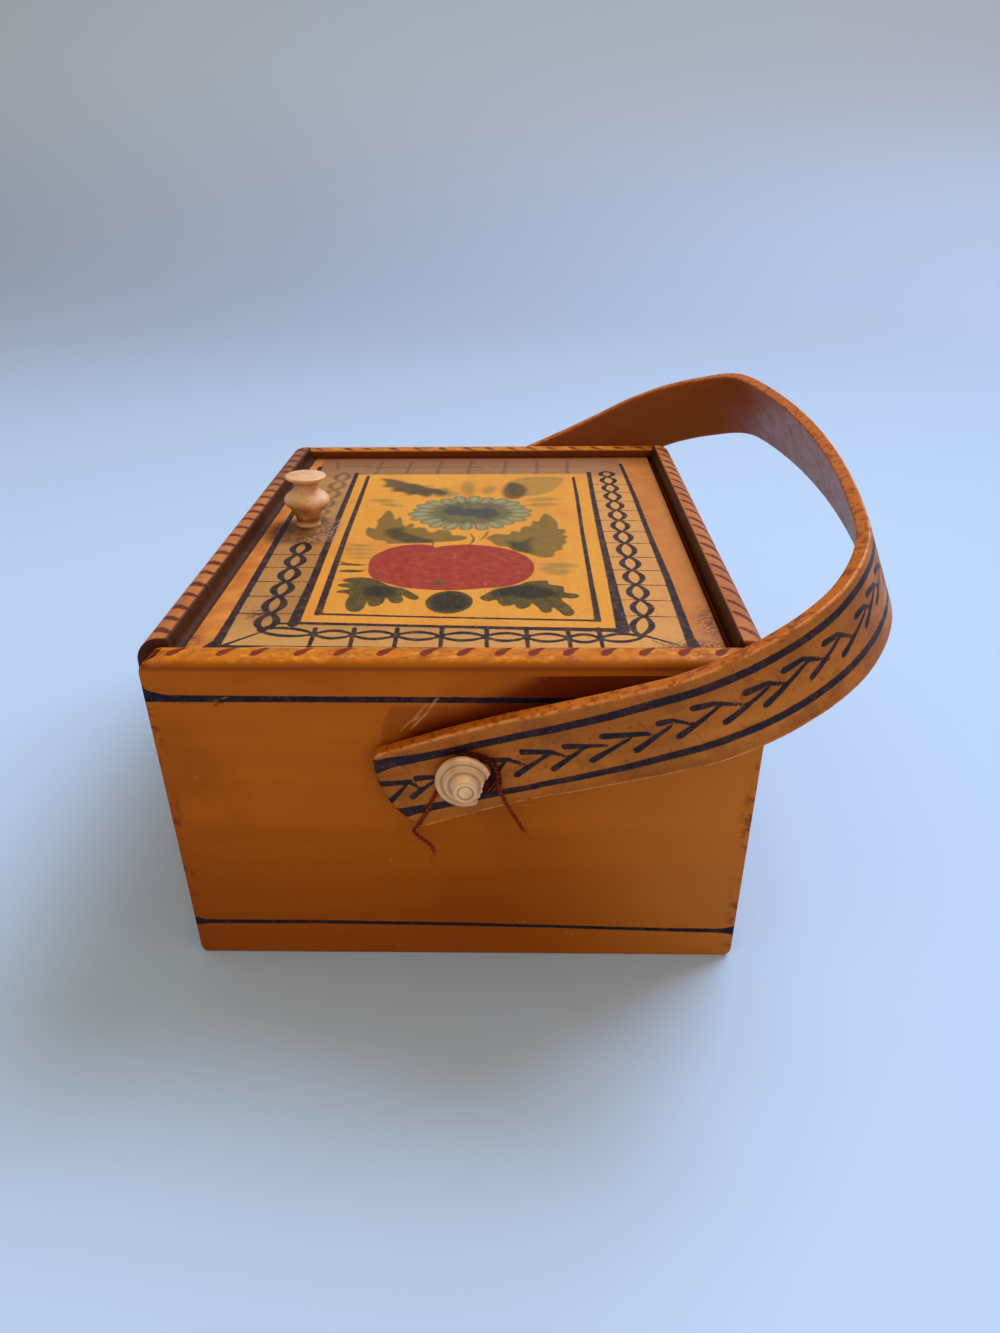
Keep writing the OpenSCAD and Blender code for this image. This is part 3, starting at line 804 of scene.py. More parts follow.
def chain(crossings, swell, width):
    """Plain painted chain: two strokes that cross at each given point and swell apart between
    them, each thickest at its widest place."""
    paths = []
    for start, stop in zip(crossings[:-1], crossings[1:]):
        start, stop = np.array(start, float), np.array(stop, float)
        along = unit(stop - start)
        share = np.linspace(0, 1, 11)
        wave = swell * np.sin(share * np.pi) ** 0.8
        middle = start + share[:, None] * (stop - start)
        thick = width * (0.7 + 0.5 * np.sin(share * np.pi))
        for way in (-1, 1):
            paths.append((middle + way * wave[:, None] * [-along[1], along[0]], thick))
    return paths


# Outlines of the painted leaves and fruit on the lid, in the box's X and Y
APPLE = [
    (-22.9, -19.4), (-22.4, -16), (-21.1, -13.3), (-18.9, -10.6), (-15.6, -8.6), (-11.7, -8.2),
    (-9.6, -8.9), (-8.5, -10.3), (-6.7, -9.3), (-2.2, -8.4), (1.1, -8.6), (5, -9.7), (8.9, -11.9),
    (12.2, -15.3), (14.2, -19.4), (14.7, -23.9), (14.2, -27.6), (12.6, -31.2), (9.8, -33.9),
    (6.2, -35.2), (1.2, -36.2), (-4, -36.8), (-9.4, -36.2), (-13.6, -35.1), (-17, -33),
    (-20.2, -30.4), (-21.9, -27.4), (-22.6, -23.4)]
LEAF_FRONT_LEFT = [
    (-25.8, -29.6), (-23, -29.3), (-20, -30.4), (-18, -32.6), (-16.2, -34.4), (-13.3, -35.8),
    (-11.1, -38.3), (-9.5, -40.9), (-10.4, -42), (-12, -41), (-13.3, -39.4), (-12.7, -42.4),
    (-13.7, -43.9), (-15.3, -43.2), (-16.4, -40.8), (-16.8, -43.8), (-18.2, -45.4),
    (-19.6, -44.8), (-20.2, -42), (-20.4, -46.4), (-21.6, -48.2), (-23.6, -47.2), (-24.6, -43.6),
    (-24.4, -39.8), (-25.4, -38.4), (-27.2, -38.1), (-27.2, -37), (-24.8, -35.8), (-26.8, -34.8),
    (-27.9, -33.8), (-27, -32.9), (-25.4, -32.5), (-27, -31.6), (-27, -30.4)]
LEAF_FRONT_RIGHT = [
    (9, -35.2), (11, -34), (13, -32), (15.5, -31.4), (17.5, -31.5), (17.8, -33.5), (20.5, -34.5),
    (20.9, -36.2), (21, -38), (23.5, -39), (23.8, -40.5), (22.5, -41.3), (20.2, -41.2),
    (20.6, -43), (21.8, -45.5), (22.5, -48.5), (21.8, -50.2), (20.4, -50), (19.4, -48),
    (18.2, -46), (18, -48), (16.8, -48.8), (15.8, -48), (15.2, -46), (14, -44), (13.5, -45.5),
    (12, -46.8), (10.8, -46), (10.4, -44), (9.8, -45), (8, -45.2), (7.2, -44), (6.6, -42),
    (5, -42.8), (3.6, -41.8), (3.2, -40.5), (4.5, -38.5), (6, -36.5), (7.6, -35.6)]
LEAF_LEFT = [
    (-22.9, 17.9), (-21.6, 15.4), (-20.9, 11.6), (-20.2, 10.6), (-19.4, 12.2), (-18.5, 9.6),
    (-18, 6.4), (-17, 5.6), (-16.2, 7.4), (-15.2, 6.2), (-15.2, 3.6), (-13.8, 4.4), (-12, 3.6),
    (-11.2, 1), (-9.6, 0.6), (-8.8, 2.4), (-5.8, 1.4), (-5.2, -1.4), (-2.8, -1.9), (-1.5, -3.4),
    (-2.6, -5.4), (-7, -6.4), (-11, -7), (-17.2, -7.6), (-20.2, -7.5), (-20.9, -5.8), (-23.4, -5),
    (-24.9, -3.2), (-26.2, -1.2), (-26.8, 2), (-26.4, 4.5), (-24.9, 3.4), (-24.5, 6.5),
    (-24.8, 10), (-24.2, 13), (-23.7, 16.4)]
LEAF_RIGHT = [
    (18, 14.9), (19.7, 11.7), (20.8, 7.2), (20.8, 3), (22.4, 2.4), (22.4, -0.4), (21.6, -1.4),
    (23, -2.6), (22.2, -5), (22.6, -7), (21.4, -9.4), (21.4, -12), (19.6, -13.4), (19.2, -16.4),
    (16.8, -17.3), (14.8, -16), (13, -14.4), (10, -12.6), (8.6, -10), (6.4, -9.6), (4.2, -5.6),
    (3.3, -3.8), (5.4, -1), (8.6, -1.2), (9.4, 1.4), (11.2, 0.8), (12, 4.2), (14, 5.2),
    (14.6, 9.2), (16, 8.6), (16.8, 12.8)]
LEAF_BACK_LEFT = [
    (-19, 42), (-16.4, 40.4), (-14, 40.8), (-12.6, 37.6), (-9.4, 38.4), (-7.6, 35), (-5.4, 33.4),
    (-6, 30.8), (-10, 29.4), (-15, 31), (-20, 33), (-23.4, 36.6)]
LEAF_BACK_RIGHT = [
    (10, 46), (13, 48), (17, 48.6), (22.5, 48), (23.4, 44), (21.8, 39), (19.6, 34), (16, 31),
    (11, 30), (8.4, 33), (7.4, 38), (8, 43)]
SHADES = [
    [(-21.6, 2.6), (-19.6, 4), (-17.4, 3.6), (-17.2, 1), (-13.4, -2.6), (-10, -5), (-10.2, -7),
    (-15.8, -6.8), (-19.2, -4), (-21.6, -1)], [(8.9, -6.2), (11.4, -6.6), (14.6, -3.6),
    (13.8, -7), (14.4, -10), (13.6, -14), (11.2, -12.8), (9, -10)], [(-28.6, 47.5), (-24, 46),
    (-20.4, 43), (-17, 41), (-14.5, 38), (-11, 36.4), (-8.4, 33), (-10.4, 31), (-12.6, 32.4),
    (-14, 29.4), (-17, 32), (-19.4, 31), (-20.8, 34.4), (-24, 34.6), (-24.6, 38.4), (-27.2, 39.4),
    (-26.8, 43)], [(8.6, 43), (11.6, 41), (13, 36.6), (12.4, 31), (10.4, 27.6), (7.6, 28.6),
    (6.4, 33), (6.8, 39)]]


def joined(*distances):
    """Signed distance to the nearest of several shapes."""
    return np.minimum.reduce(distances)


def lid_art(at):
    """All painted layers of the lid, as signed distances in millimetres, from plain strokes,
    dabs and smooth shapes in the box's own X and Y."""
    x, y = at[..., 0], at[..., 1]
    left_in = -33.0 - 0.032 * (y + 53)
    right_in = 31.4 - 0.003 * (y + 56)
    front_in = -55.2 - 0.05 * x
    panel = np.maximum.reduce([left_in - x, x - right_in, front_in - y, y - 51.5])
    margin = np.maximum(-46.4 - 0.022 * (y + 40) - x, x - (43.9 - 0.022 * (y + 64)))
    ink = [
        ([[-46.9, -66.5], [-46.0, -62], [-46.2, -50], [-46.9, -20], [-47.6, 5], [-48.6, 60]],
         [4.2, 2.0, 1.6, 1.7, 1.5, 1.3]),
        ([[44.2, -66], [43.8, -60], [43.5, -30], [42.7, 0], [42.2, 30], [41.2, 62]],
         [2.6, 1.9, 1.6, 1.3, 1.2, 1.0]),
        ([[-33.2, -54.2], [-33.7, -30], [-34.8, 0], [-35.8, 30], [-36.6, 53]],
         [2.4, 1.8, 1.6, 1.4, 1.3]),
        ([[31.5, -57.0], [31.3, -30], [31, 0], [31, 30], [31.2, 53]], [2.6, 1.8, 1.5, 1.3, 1.3]),
        ([[-33.5, -53.6], [-10, -55.0], [10, -56.1], [32, -57.2]], [1.3, 1.2, 1.5, 1.9]),
        ([[-29.2, -49.2], [-30, -30], [-31.2, 0], [-32.1, 30], [-32.8, 50]],
         [1.6, 1.5, 1.3, 1.2, 1.0]),
        ([[27, -52.6], [26.8, -30], [26.6, 0], [26.7, 30], [26.5, 48]],
         [1.4, 1.1, 1.0, 1.0, 0.8]),
        ([[-29.4, -49.2], [-10, -50.6], [10, -51.7], [27, -52.6]], [1.0, 0.8, 0.8, 1.0]),
        ([[-46, -64.6], [-36, -64.2], [0, -65.0], [30, -65.2], [44, -65]],
         [1.6, 0.5, 0.3, 0.3, 0.8]),
        ([[-44.6, -64], [-38.2, -57.4]], [0.9, 0.6]), ([[35, -59.4], [41.6, -63.8]], [0.9, 0.4]),
        ([[-38.8, -56.4], [-36.6, -54], [-33.8, -53.8]], [1.2, 0.9, 0.8]),
        ([[36.5, -61.6], [39.5, -64.5]], [0.3, 0.2]), ([[38.2, -61.8], [41, -64.6]], 0.25)]
    ink += chain([(-38.4, -57), (-39.0, -49), (-39.2, -40), (-39.4, -31.8), (-39.8, -23.2),
                  (-40.2, -15), (-40.6, -6.6)], 1.85, 1.35)
    right = (-50.4, -42.2, -33.8, -25.2, -17, -7.5, 0.8, 9.3, 17.5, 25.5, 33.5, 41)
    ink += chain([(34.6, -59.6)] + [(36.3, p) for p in right + (48.4, 54)], 1.85, 1.15)
    ink += chain([(-39.6, -56.9), (-28.2, -58.9), (-20.7, -59.2), (-12.3, -59.5), (-3.7, -59.9),
                  (5, -60.1), (12.8, -60.3), (20.8, -60.7), (26.8, -60.9), (35, -60.2)],
                 1.75, 1.05)
    ink += [([[p, -56.2], [p + 0.3, -64.8]], [1.0, 0.8])
            for p in (-28.4, -20.7, -12.3, -3.6, 5.1, 12.8, 20.8, 26.8)]
    ink += [([[-46, p + 0.1], [-33.6, p - 0.1]], [0.55, 0.45])
            for p in (-49, -40, -31.8, -23.2, -15)]
    ink += [([[31.6, p], [36, p + 0.2]], [0.45, 0.4]) for p in right]
    ink += [([[36.8, p - 0.1], [43.4, p - 0.5]], [0.5, 0.4]) for p in right]
    faint = chain([(-40.7, 8), (-40.7, 14), (-40.6, 19.5), (-40.5, 28),
                   (-40.4, 36.5), (-40.3, 45), (-40.2, 53.5)], 1.9, 1.2)
    faint += [([[p, 52.5], [p + 0.4, 66]], 0.7) for p in (-31, -22, -13, -4, 6.5, 16, 25)]
    faint += [([[p - 3.6, 59.4], [p + 4, 59.2]], 0.7) for p in (-31, -22, -13, -4, 6.5, 16, 25)]
    faint += [([[-41.5, 60.5], [-34, 61]], 0.9), ([[-44, 64], [-43, 58]], 0.7)]

    turn = np.radians(np.arange(22) * 360 / 22 + 6)
    middle = np.array([-1.6, 16.0])
    petals, tips = [], []
    for k, a in enumerate(turn):
        out = np.array([np.cos(a), np.sin(a)])
        tip = middle + out * [16.0, 14.4] * (1 - 0.05 * (k % 3 == 1))
        root = middle + out * [6, 5]
        petals.append(([root, (root + tip) / 2, tip - out * 1.6], [1.4, 2.6, 3.5]))
        tips.append((*(tip - out * 2.8), 2.5, 1.15, np.degrees(np.arctan2(out[1], out[0]))))
    veins = [([[-7.4, 11.6], [-8.2, 5.4]], [0.6, 0.4]), ([[-2.4, 10.5], [-2.9, 4]], [1.1, 0.5]),
             ([[1.4, 11], [1.7, 5.2]], [0.8, 0.4]), ([[-2, 20.5], [-3.6, 29]], [1.1, 0.6]),
             ([[3.2, 20], [3.4, 28]], [0.9, 0.5]), ([[-6.4, 21], [-7.8, 28.6]], [0.9, 0.5]),
             ([[5.6, 19], [8.8, 26]], [0.7, 0.4]), ([[4.4, 12], [7.2, 7.4]], [0.7, 0.4])]
    veins += [([middle + [7.6 * np.cos(a), 6.8 * np.sin(a)],
                middle + [12.6 * np.cos(a), 11.4 * np.sin(a)]], [0.8, 0.35])
              for a in turn + np.pi / 22]
    blossom = joined(strokes(at, petals), lobes(at, [(*middle, 10.5, 9.2, 0)]))
    eye = joined(lobes(at, [(-5.9, 17.6, 2.6, 3.6, 0), (2.5, 15.4, 3.2, 4.2, 0),
                            (-1.6, 16, 3.6, 3.0, 0)]) - 0.3, strokes(at, veins) + 0.35)

    olive = joined(blob(at, LEAF_LEFT), blob(at, LEAF_RIGHT))
    green = joined(blob(at, LEAF_FRONT_LEFT), blob(at, LEAF_FRONT_RIGHT), lobes(at, [
        (-3.1, -43.1, 4.9, 6.0, 0), (-26.6, -21.4, 2.8, 0.7, -10), (-26.2, -25.5, 2.8, 0.85, -2)]),
        strokes(at, [([[-29.6, -19.4], [-27.6, -21.2]], [0.4, 0.6]),
                     ([[-29.4, -21.6], [-27, -21.8]], [0.4, 0.6]),
                     ([[-25, -22], [-23, -21.4]], [0.5, 0.3]),
                     ([[-24.4, -25.2], [-22.6, -24.2]], [0.5, 0.3])]))
    deep = lobes(at, [(-18.4, -37.4, 3.6, 3.2, -40), (13, -37.6, 6.6, 3.4, -12),
                      (-3.1, -43.1, 4.2, 5.2, 0), (9, -38, 3.4, 2.0, 30)])
    pale = joined(blob(at, LEAF_BACK_LEFT), blob(at, LEAF_BACK_RIGHT), lobes(at, [
        (-3.2, 37.6, 1.7, 6.6, 4), (2.8, 35.6, 1.8, 3.6, -12), (17.4, 27, 4.2, 1.8, 10),
        (17.2, 22.6, 4.0, 1.7, 6), (-25.6, 26.4, 3.4, 1.5, -8), (-22.6, 22.6, 2.8, 1.3, -20),
        (-26.8, -8.8, 3.2, 0.9, -6), (-26.2, -11.6, 3.2, 0.9, -4), (-25.8, -14.4, 2.9, 0.9, -2),
        (-25.2, -17, 2.2, 0.8, 0), (20.3, -22.2, 3.8, 1.8, -4), (20.2, -26.2, 2.8, 1.9, 8),
        (17.8, -24.4, 2.0, 1.6, 0)]))
    stem = strokes(at, [([[-0.8, -0.6], [0.3, -4], [0.1, -6.4], [-0.7, -8.4]],
                         [0.4, 0.7, 0.8, 0.5]),
                        ([[3.6, 1.7], [3.2, -1], [2.6, -3.4], [1.6, -5.8]], [0.5, 0.7, 0.6, 0.3]),
                        ([[-9.4, -7], [-9.2, -9.6]], [0.7, 0.4])])
    scratch = strokes(at, [([[-3.9, -13.9], [-3.3, -19.4]], 0.25), ([[4.4, -13.9], [8.9, -20.5]],
                      0.2), ([[-12, -19], [-10.4, -25]], 0.15), ([[-1, -22], [6, -25]], 0.15),
                           ([[3.8, -32.4], [4.1, -33.8]], 0.3), ([[-15, -12], [-13, -14]], 0.15)])
    # stain round the knob's foot, which also carries the knob's painted shadow and reflection
    stain = lobes(at, [(-44.4, 1.5, 7, 9.5, 0), (-40.5, 3, 6.2, 8.6, 0), (-40, -5, 5, 4, 0)]) - 0.8
    worn = joined(lobes(at, [(-35.6, 3.4, 3.4, 6.8, -6), (-37.4, -4.2, 3.4, 2.2, 0)]) - 0.5,
                  lobes(at, [(47.6, -60, 3.6, 6, 0)]) + 0.6)
    dirt = joined(lobes(at, [(45, -65, 7.5, 3.6, 0), (48.4, -54, 2.4, 9, 0)]),
                  lobes(at, [(45.4, -1.6, 0.9, 0.7, 0), (39.5, -17, 3.4, 0.8, 0)]) + 1.0,
                  lobes(at, [(-41, -49.5, 4.4, 4.6, 0), (-51.6, -62, 4, 5.4, 0)]) + 1.4)
    return {"panel": panel, "margin": margin, "ink": strokes(at, ink),
            "faint": strokes(at, faint), "apple": blob(at, APPLE), "daisy": blossom,
            "fleck": lobes(at, [(-6.0, -32.8, 1.7, 1.3, 10)]), "petal": lobes(at, tips),
            "eye": eye, "olive": olive, "green": green, "deep": deep, "pale": pale,
            "shade": joined(*[blob(at, shape) for shape in SHADES]), "stem": stem,
            "scratch": scratch, "stain": stain, "worn": worn, "dirt": dirt}


def make_lid():
    """Thin panel: a box section in x and z carried along Y, finely cut on its top."""
    top, low = LID_TOP, LID_TOP - LID_T
    ring = outline([[LID_LEFT, top], [LID_LEFT, low], [LID_RIGHT, low], [LID_RIGHT, top]],
                   [0.1, 0.3, 0.3, 0.35], [1.5, 12, 1.0, 0.43], 4)
    edge = GROOVE_Y - 0.3
    place, inset = stations(-edge, edge, 0.43, 0.3, 3)
    grid = np.array([np.stack([s[:, 0], np.full(len(s), y), s[:, 1]], 1)
                     for y, s in ((y, drawn_in(ring, d)) for y, d in zip(place, inset))])
    layers = lid_art(grid[..., :2])
    above = grid[..., 2] > top - 0.4
    layers = {k: np.where(above, v, FAR) for k, v in layers.items()}
    dress(skin("lid_painted", grid, layers), lid_paint, "lid", "lid_panel", slot="lid_wood")


make_lid()


def turned(profile, sides=72, limit=None):
    """Rings of a turned piece about Z, from (radius, height) pairs. limit is the largest
    radius at each angle, where the rim is broken off."""
    profile = np.array(profile, float)
    a = np.arange(sides) / sides * 2 * np.pi
    r = np.broadcast_to(profile[:, :1], (len(profile), sides))
    if limit is not None:
        r = np.minimum(r, np.maximum(limit(a)[None], np.minimum(2.7, r)))
    return np.stack([r * np.cos(a), r * np.sin(a),
                     np.broadcast_to(profile[:, 1:], r.shape)], -1)


def smooth_profile(points, steps=5):
    """Open smooth curve through profile points."""
    p = np.array(points, float)
    q = np.concatenate([2 * p[:1] - p[1:2], p, 2 * p[-1:] - p[-2:-1]])
    return np.concatenate([spline(*(q[k:len(q) - 3 + k] for k in range(4)), steps), p[-1:]])


bone_knob = bone_finish("bone_knob", (226, 178, 134), (208, 152, 104))
bone_stud = bone_finish("bone_stud", (232, 190, 142), (212, 162, 112))


def make_knob():
    """Knob: foot, round belly, neck and a broad thin head, leaning a little to the right."""
    profile = np.concatenate([
        [[0.3, -0.2], [2.4, -0.2]],
        smooth_profile([[3.1, 0.0], [2.95, 0.4], [2.9, 1.2], [3.2, 2.4], [3.75, 3.6], [4.5, 4.6],
                        [5.25, 5.35], [5.6, 6.1], [5.5, 6.9], [4.95, 7.6], [4.1, 8.2], [3.4, 8.8],
                        [3.0, 9.35], [3.0, 9.9], [3.4, 10.6], [4.1, 11.15]]),
        [[4.75, 11.5], [4.98, 11.75], [5.0, 12.0], [4.9, 12.15], [4.6, 12.22], [3.0, 12.3],
         [1.5, 12.34], [0.2, 12.35]]])
    profile[:, 1] += 0.07 * np.clip(profile[:, 1] - 6.1, 0, None)
    grid = turned(profile)
    lean = np.radians(KNOB_LEAN)
    x = grid[..., 0] * np.cos(lean) + grid[..., 2] * np.sin(lean)
    z = grid[..., 2] * np.cos(lean) - grid[..., 0] * np.sin(lean)
    grid = np.stack([x + KNOB_X, grid[..., 1] + KNOB_Y, np.maximum(z - 0.1, -0.2) + LID_TOP], -1)
    height = np.broadcast_to(profile[:, 1:], grid.shape[:2])
    hollow = (np.clip(1 - np.abs(height - 10.9) / 0.9, 0, 1) * 0.6
              + np.clip(1 - np.abs(height - 1.7) / 1.1, 0, 1) * 0.9)
    spin = np.arctan2(grid[..., 1] - KNOB_Y, grid[..., 0] - KNOB_X)
    tea = np.clip((6.9 + 0.7 * np.sin(3 * spin + 1) - height) / 2.2, 0, 1)
    tea = np.where(height < 0.9, 0.35, tea)
    tea = np.maximum(tea, 0.55 * np.clip(1 - np.abs(height - 9.8) / 1.4, 0, 1))
    dress(skin("knob_turned", grid, {"hollow": hollow, "tea": tea}), bone_knob, "lid",
          "lid_knob", slot="bone")


def on_pivot(points):
    """Points of the pivot's frame in the box's frame: turned about X by the pivot's climb."""
    y, z = points[..., 1], points[..., 2]
    c, s = np.cos(PIVOT_TILT), np.sin(PIVOT_TILT)
    return np.stack([points[..., 0], y * c - z * s, y * s + z * c], -1) + PIVOT


def along_stud(points, side):
    """Stud frame, Z outwards, X right and Y up on the front, to the box's frame."""
    x, y, z = points[..., 0], points[..., 1], points[..., 2]
    return on_pivot(np.stack([x, side * (STUD_FACE + z), -side * y], -1))


def broken(a):
    """Radius at which the front flange ends: a ragged bite at the lower right."""
    edge = np.array([[4.9, 1.9], [4.4, 1.5], [4.2, 1.0], [3.4, 0.6], [3.5, 0.0], [3.1, -0.5],
                     [3.3, -1.2], [2.8, -1.8], [2.9, -2.5], [2.4, -3.0], [2.4, -3.7], [2.0, -4.9]])
    turn = np.degrees(np.arctan2(edge[:, 1], edge[:, 0]))[::-1]
    reach = np.hypot(edge[:, 0], edge[:, 1])[::-1]
    at = (np.degrees(a) + 180) % 360 - 180
    return np.interp(at, turn, reach, left=9.0, right=9.0)


def make_stud(name, node, side, limit=None, tip=0.0):
    """Stud: shank, flange with two stepped rings, and a short nose with a dimple. The front
    one's head is a little crooked: what lies above the flange drifts to the lower right."""
    low, rim = FLANGE_LOW, FLANGE_LOW + FLANGE_RIM
    profile = [[0.3, -4.2], [1.8, -4.2], [2, -4], [2, 0], [2, BAND_OUT], [2, low - 0.3],
               [2.4, low - 0.1], [2.8, low], [4.3, low], [4.95, low], [5.12, low + 0.1],
               [5.2, low + 0.35], [5.2, rim - 0.34], [5.14, rim - 0.12], [4.96, rim + 0.02],
               [4.6, rim + 0.04], [4.2, rim - 0.02], [3.95, rim - 0.06], [3.9, rim + 0.12],
               [3.84, rim + 0.36], [3.7, rim + 0.5], [3.45, rim + 0.57], [3.1, rim + 0.52],
               [2.75, rim + 0.44], [2.52, rim + 0.5], [2.42, rim + 0.7], [2.36, rim + 1.2],
               [2.34, rim + 1.8], [2.3, rim + 2.15], [2.2, rim + 2.36], [1.98, rim + 2.5],
               [1.72, rim + 2.48], [1.45, rim + 2.34], [1.3, rim + 2.3], [1.18, rim + 2.42],
               [0.95, rim + 2.56], [0.6, rim + 2.5], [0.25, rim + 2.42]]
    points = turned(profile, 96, limit)
    drift = np.clip(points[..., 2] - low, 0, None) * tip
    points = points + np.stack([drift, -drift, 0 * drift], -1)
    grid = along_stud(points, side)
    height = np.array([p[1] for p in profile]) - rim
    groove = sum(np.exp(-((height - h) / 0.09) ** 2) for h in (-0.05, 0.46, 2.32))
    groove = np.where(height > -0.1, groove, 0.0)
    hollow = np.broadcast_to(groove[:, None], grid.shape[:2]) * 0.7
    rest = np.where(height < -0.5, 0.9, 0.0)
    tea = np.broadcast_to(rest[:, None], grid.shape[:2])
    if limit is not None:
        spin = np.arctan2(points[..., 1] + drift, points[..., 0] - drift)
        cut = np.hypot(points[..., 0] - drift, points[..., 1] + drift) > broken(spin) - 0.05
        tea = np.maximum(tea, np.where(cut & (height > -1.0)[:, None], 0.25, 0.0))
    dress(skin(name, grid, {"hollow": hollow, "tea": tea}), bone_stud, "case", node, slot="bone")


make_knob()
make_stud("front_stud_turned", "front_stud", -1, broken, 0.14)
make_stud("back_stud_turned", "back_stud", 1)


def band_line(step):
    """Middle line of the handle's band, in the plane of its legs, and its outward normals.
    Five runs from the front leg's end to the crown: straight, hip arc, straight, shoulder arc
    and half the crown's arc; then the same, mirrored, to the back leg's end."""
    out = np.array([-np.sin(SPREAD), np.cos(SPREAD)])
    along = np.array([np.cos(SPREAD), np.sin(SPREAD)])
    bend = np.array([STRAIGHT_U + HIP_R * np.sin(SPREAD), BAND_V + HIP_R * (1 - np.cos(SPREAD))])
    crown = np.array([BAND_REACH - CROWN_R, 0.0])
    a = bend - SHOULDER_R * out - crown
    run = -(a @ along) + np.sqrt((a @ along) ** 2 - a @ a + (CROWN_R - SHOULDER_R) ** 2)
    hub = bend - SHOULDER_R * out + run * along
    last = np.arctan2(hub[1] - crown[1], hub[0] - crown[0])
    first = np.pi / 2 + SPREAD
    lengths = [STRAIGHT_U, HIP_R * SPREAD, run, SHOULDER_R * (first - last), CROWN_R * last]
    mark = np.concatenate([[0], np.cumsum(lengths)])
    s = np.linspace(0, mark[-1], int(mark[-1] / step) + 1)
    run_no = np.clip(np.searchsorted(mark, s, side="right") - 1, 0, 4)
    t = s - mark[run_no]
    on_run = [run_no == k for k in range(5)]
    turn = np.select(on_run, [np.pi / 2 + 0 * t, np.pi / 2 + t / HIP_R, first + 0 * t,
                              first - t / SHOULDER_R, last - t / CROWN_R])
    normal = np.stack([np.cos(turn), np.sin(turn)], 1)
    straight = np.stack([t, np.full(t.size, BAND_V)], 1)
    hip = np.array([STRAIGHT_U, BAND_V + HIP_R]) - HIP_R * normal
    leg = bend + t[:, None] * along
    shoulder = hub + SHOULDER_R * normal
    top = crown + CROWN_R * normal
    line = np.select([k[:, None] for k in on_run], [straight, hip, leg, shoulder, top])
    return s, line, normal, mark[-1]


SWAY_S = [-16, -12, 0, 8, 18, 30, 42, 52, 62, 76, 88, 105, 140]
SWAY_N = [1.0, 0.9, 0.1, -0.7, -1.2, -1.5, -1.45, -0.9, -0.6, -0.6, 0.1, 0.5, 0.3]

# Brush strokes on the front leg, as distance from the start of the straight and height
BARS = [
    [(-15.4, 4.1), (-9.6, 2.4), (-8.2, .2)], [(-8, 2.6), (-5.2, 1.8), (-3, .6)], [(4.8, 1.6),
    (9.5, .2), (11.8, -1.7)], [(12.6, 1), (17.9, -.4), (20.1, -2)], [(20.7, .1), (27.9, -1.5)],
    [(27.9, .5), (35.5, -.9), (36.2, -1.5)], [(38.2, .6), (40.7, .6), (43.4, -.9)], [(44.6, 2),
    (47.9, 1.8), (52.3, -.3)], [(53.2, 1.6), (56.8, 1.6), (60.1, -.3)], [(60.2, 2.3), (63.8, 2.4),
    (68.5, -.7)], [(68.5, 2.5), (71.6, 2.2), (75.2, -.7)], [(77.1, 2.2), (79.9, 2.2), (82.4, .5)],
    [(82.1, 3.3), (85.4, 3), (87.7, 1.4)], [(88, 4), (91, 3.6), (93.6, 1.6)]]
LEGS = [
    [(-10.5, 1.8), (-15.4, -.7)], [(-5.5, .7), (-10.4, -.9)], [(9, .2), (4.5, -2.9)],
    [(17.3, -.7), (9.6, -3.5)], [(24, -1), (16.8, -4.1)], [(32.3, -1.2), (24.3, -4)],
    [(40.1, -.4), (32.6, -3.9)], [(48.7, 1), (40.7, -2.9)], [(56.8, .7), (48.7, -2.5)],
    [(64.3, 1.4), (55.7, -2.2)], [(71.8, 1.4), (64.6, -1.7)], [(79.9, 1.1), (71.8, -2)],
    [(85.7, 2.5), (79.3, -1.2)], [(91.4, 2.6), (85, -.4)]]


def band_art(s, n, total):
    """Two stripes and a row of slanting barred strokes along the whole outer face."""
    at = np.stack([s, n], -1)
    stripes = [
        ([(-16.5, 7.7), (-11, 7.6), (-6, 6.6), (0, 5.7), (10, 4.6), (20, 4.2), (30, 4.2),
          (40, 4.7), (50, 5.1), (60, 5.4), (72, 5.6), (82, 6.2), (92, 6.6), (120, 6.3),
          (2 * total - 20, 6.0), (2 * total + 16, 6.6)],
         [3.4, 2.3, 1.8, 1.6, 1.5, 1.6, 1.65, 1.65, 1.6, 1.5, 1.5, 1.5, 1.5, 1.5, 1.5, 2.8]),
        ([(-16, -3.4), (-11, -3.9), (-6, -4.7), (0, -5.5), (10, -6.8), (20, -7.05), (30, -6.95),
          (40, -6.4), (50, -5.8), (60, -5.5), (72, -5.2), (80, -4.9), (92, -4.4), (120, -4.9),
          (2 * total - 20, -5.3), (2 * total + 16, -5.0)],
         [2.8, 1.9, 1.6, 1.4, 1.3, 1.3, 1.4, 1.5, 1.5, 1.5, 1.5, 1.5, 1.5, 1.5, 1.5, 2.6])]
    marks = [(bar, np.linspace(1.35, 0.6, len(bar))) for bar in BARS]
    marks += [(leg, [0.6, 1.3]) for leg in LEGS]
    rng = np.random.default_rng(11)
    p = 96.5
    while p < 2 * total + 8:
        r = rng.uniform(-0.3, 0.3, 6)
        marks.append(([(p + r[0], 3.4 + r[1]), (p + 3.3, 3.1 + r[2]), (p + 6.6 + r[3], .7 + r[4])],
                      [1.35, 1.1, 0.6]))
        marks.append(([(p + 3.6, 2.2 + r[5]), (p - 3.9 + r[0], -1.3 + r[1])], [0.6, 1.3]))
        p += 7.9 + rng.uniform(-0.4, 0.4)
    return strokes(at, stripes + marks)


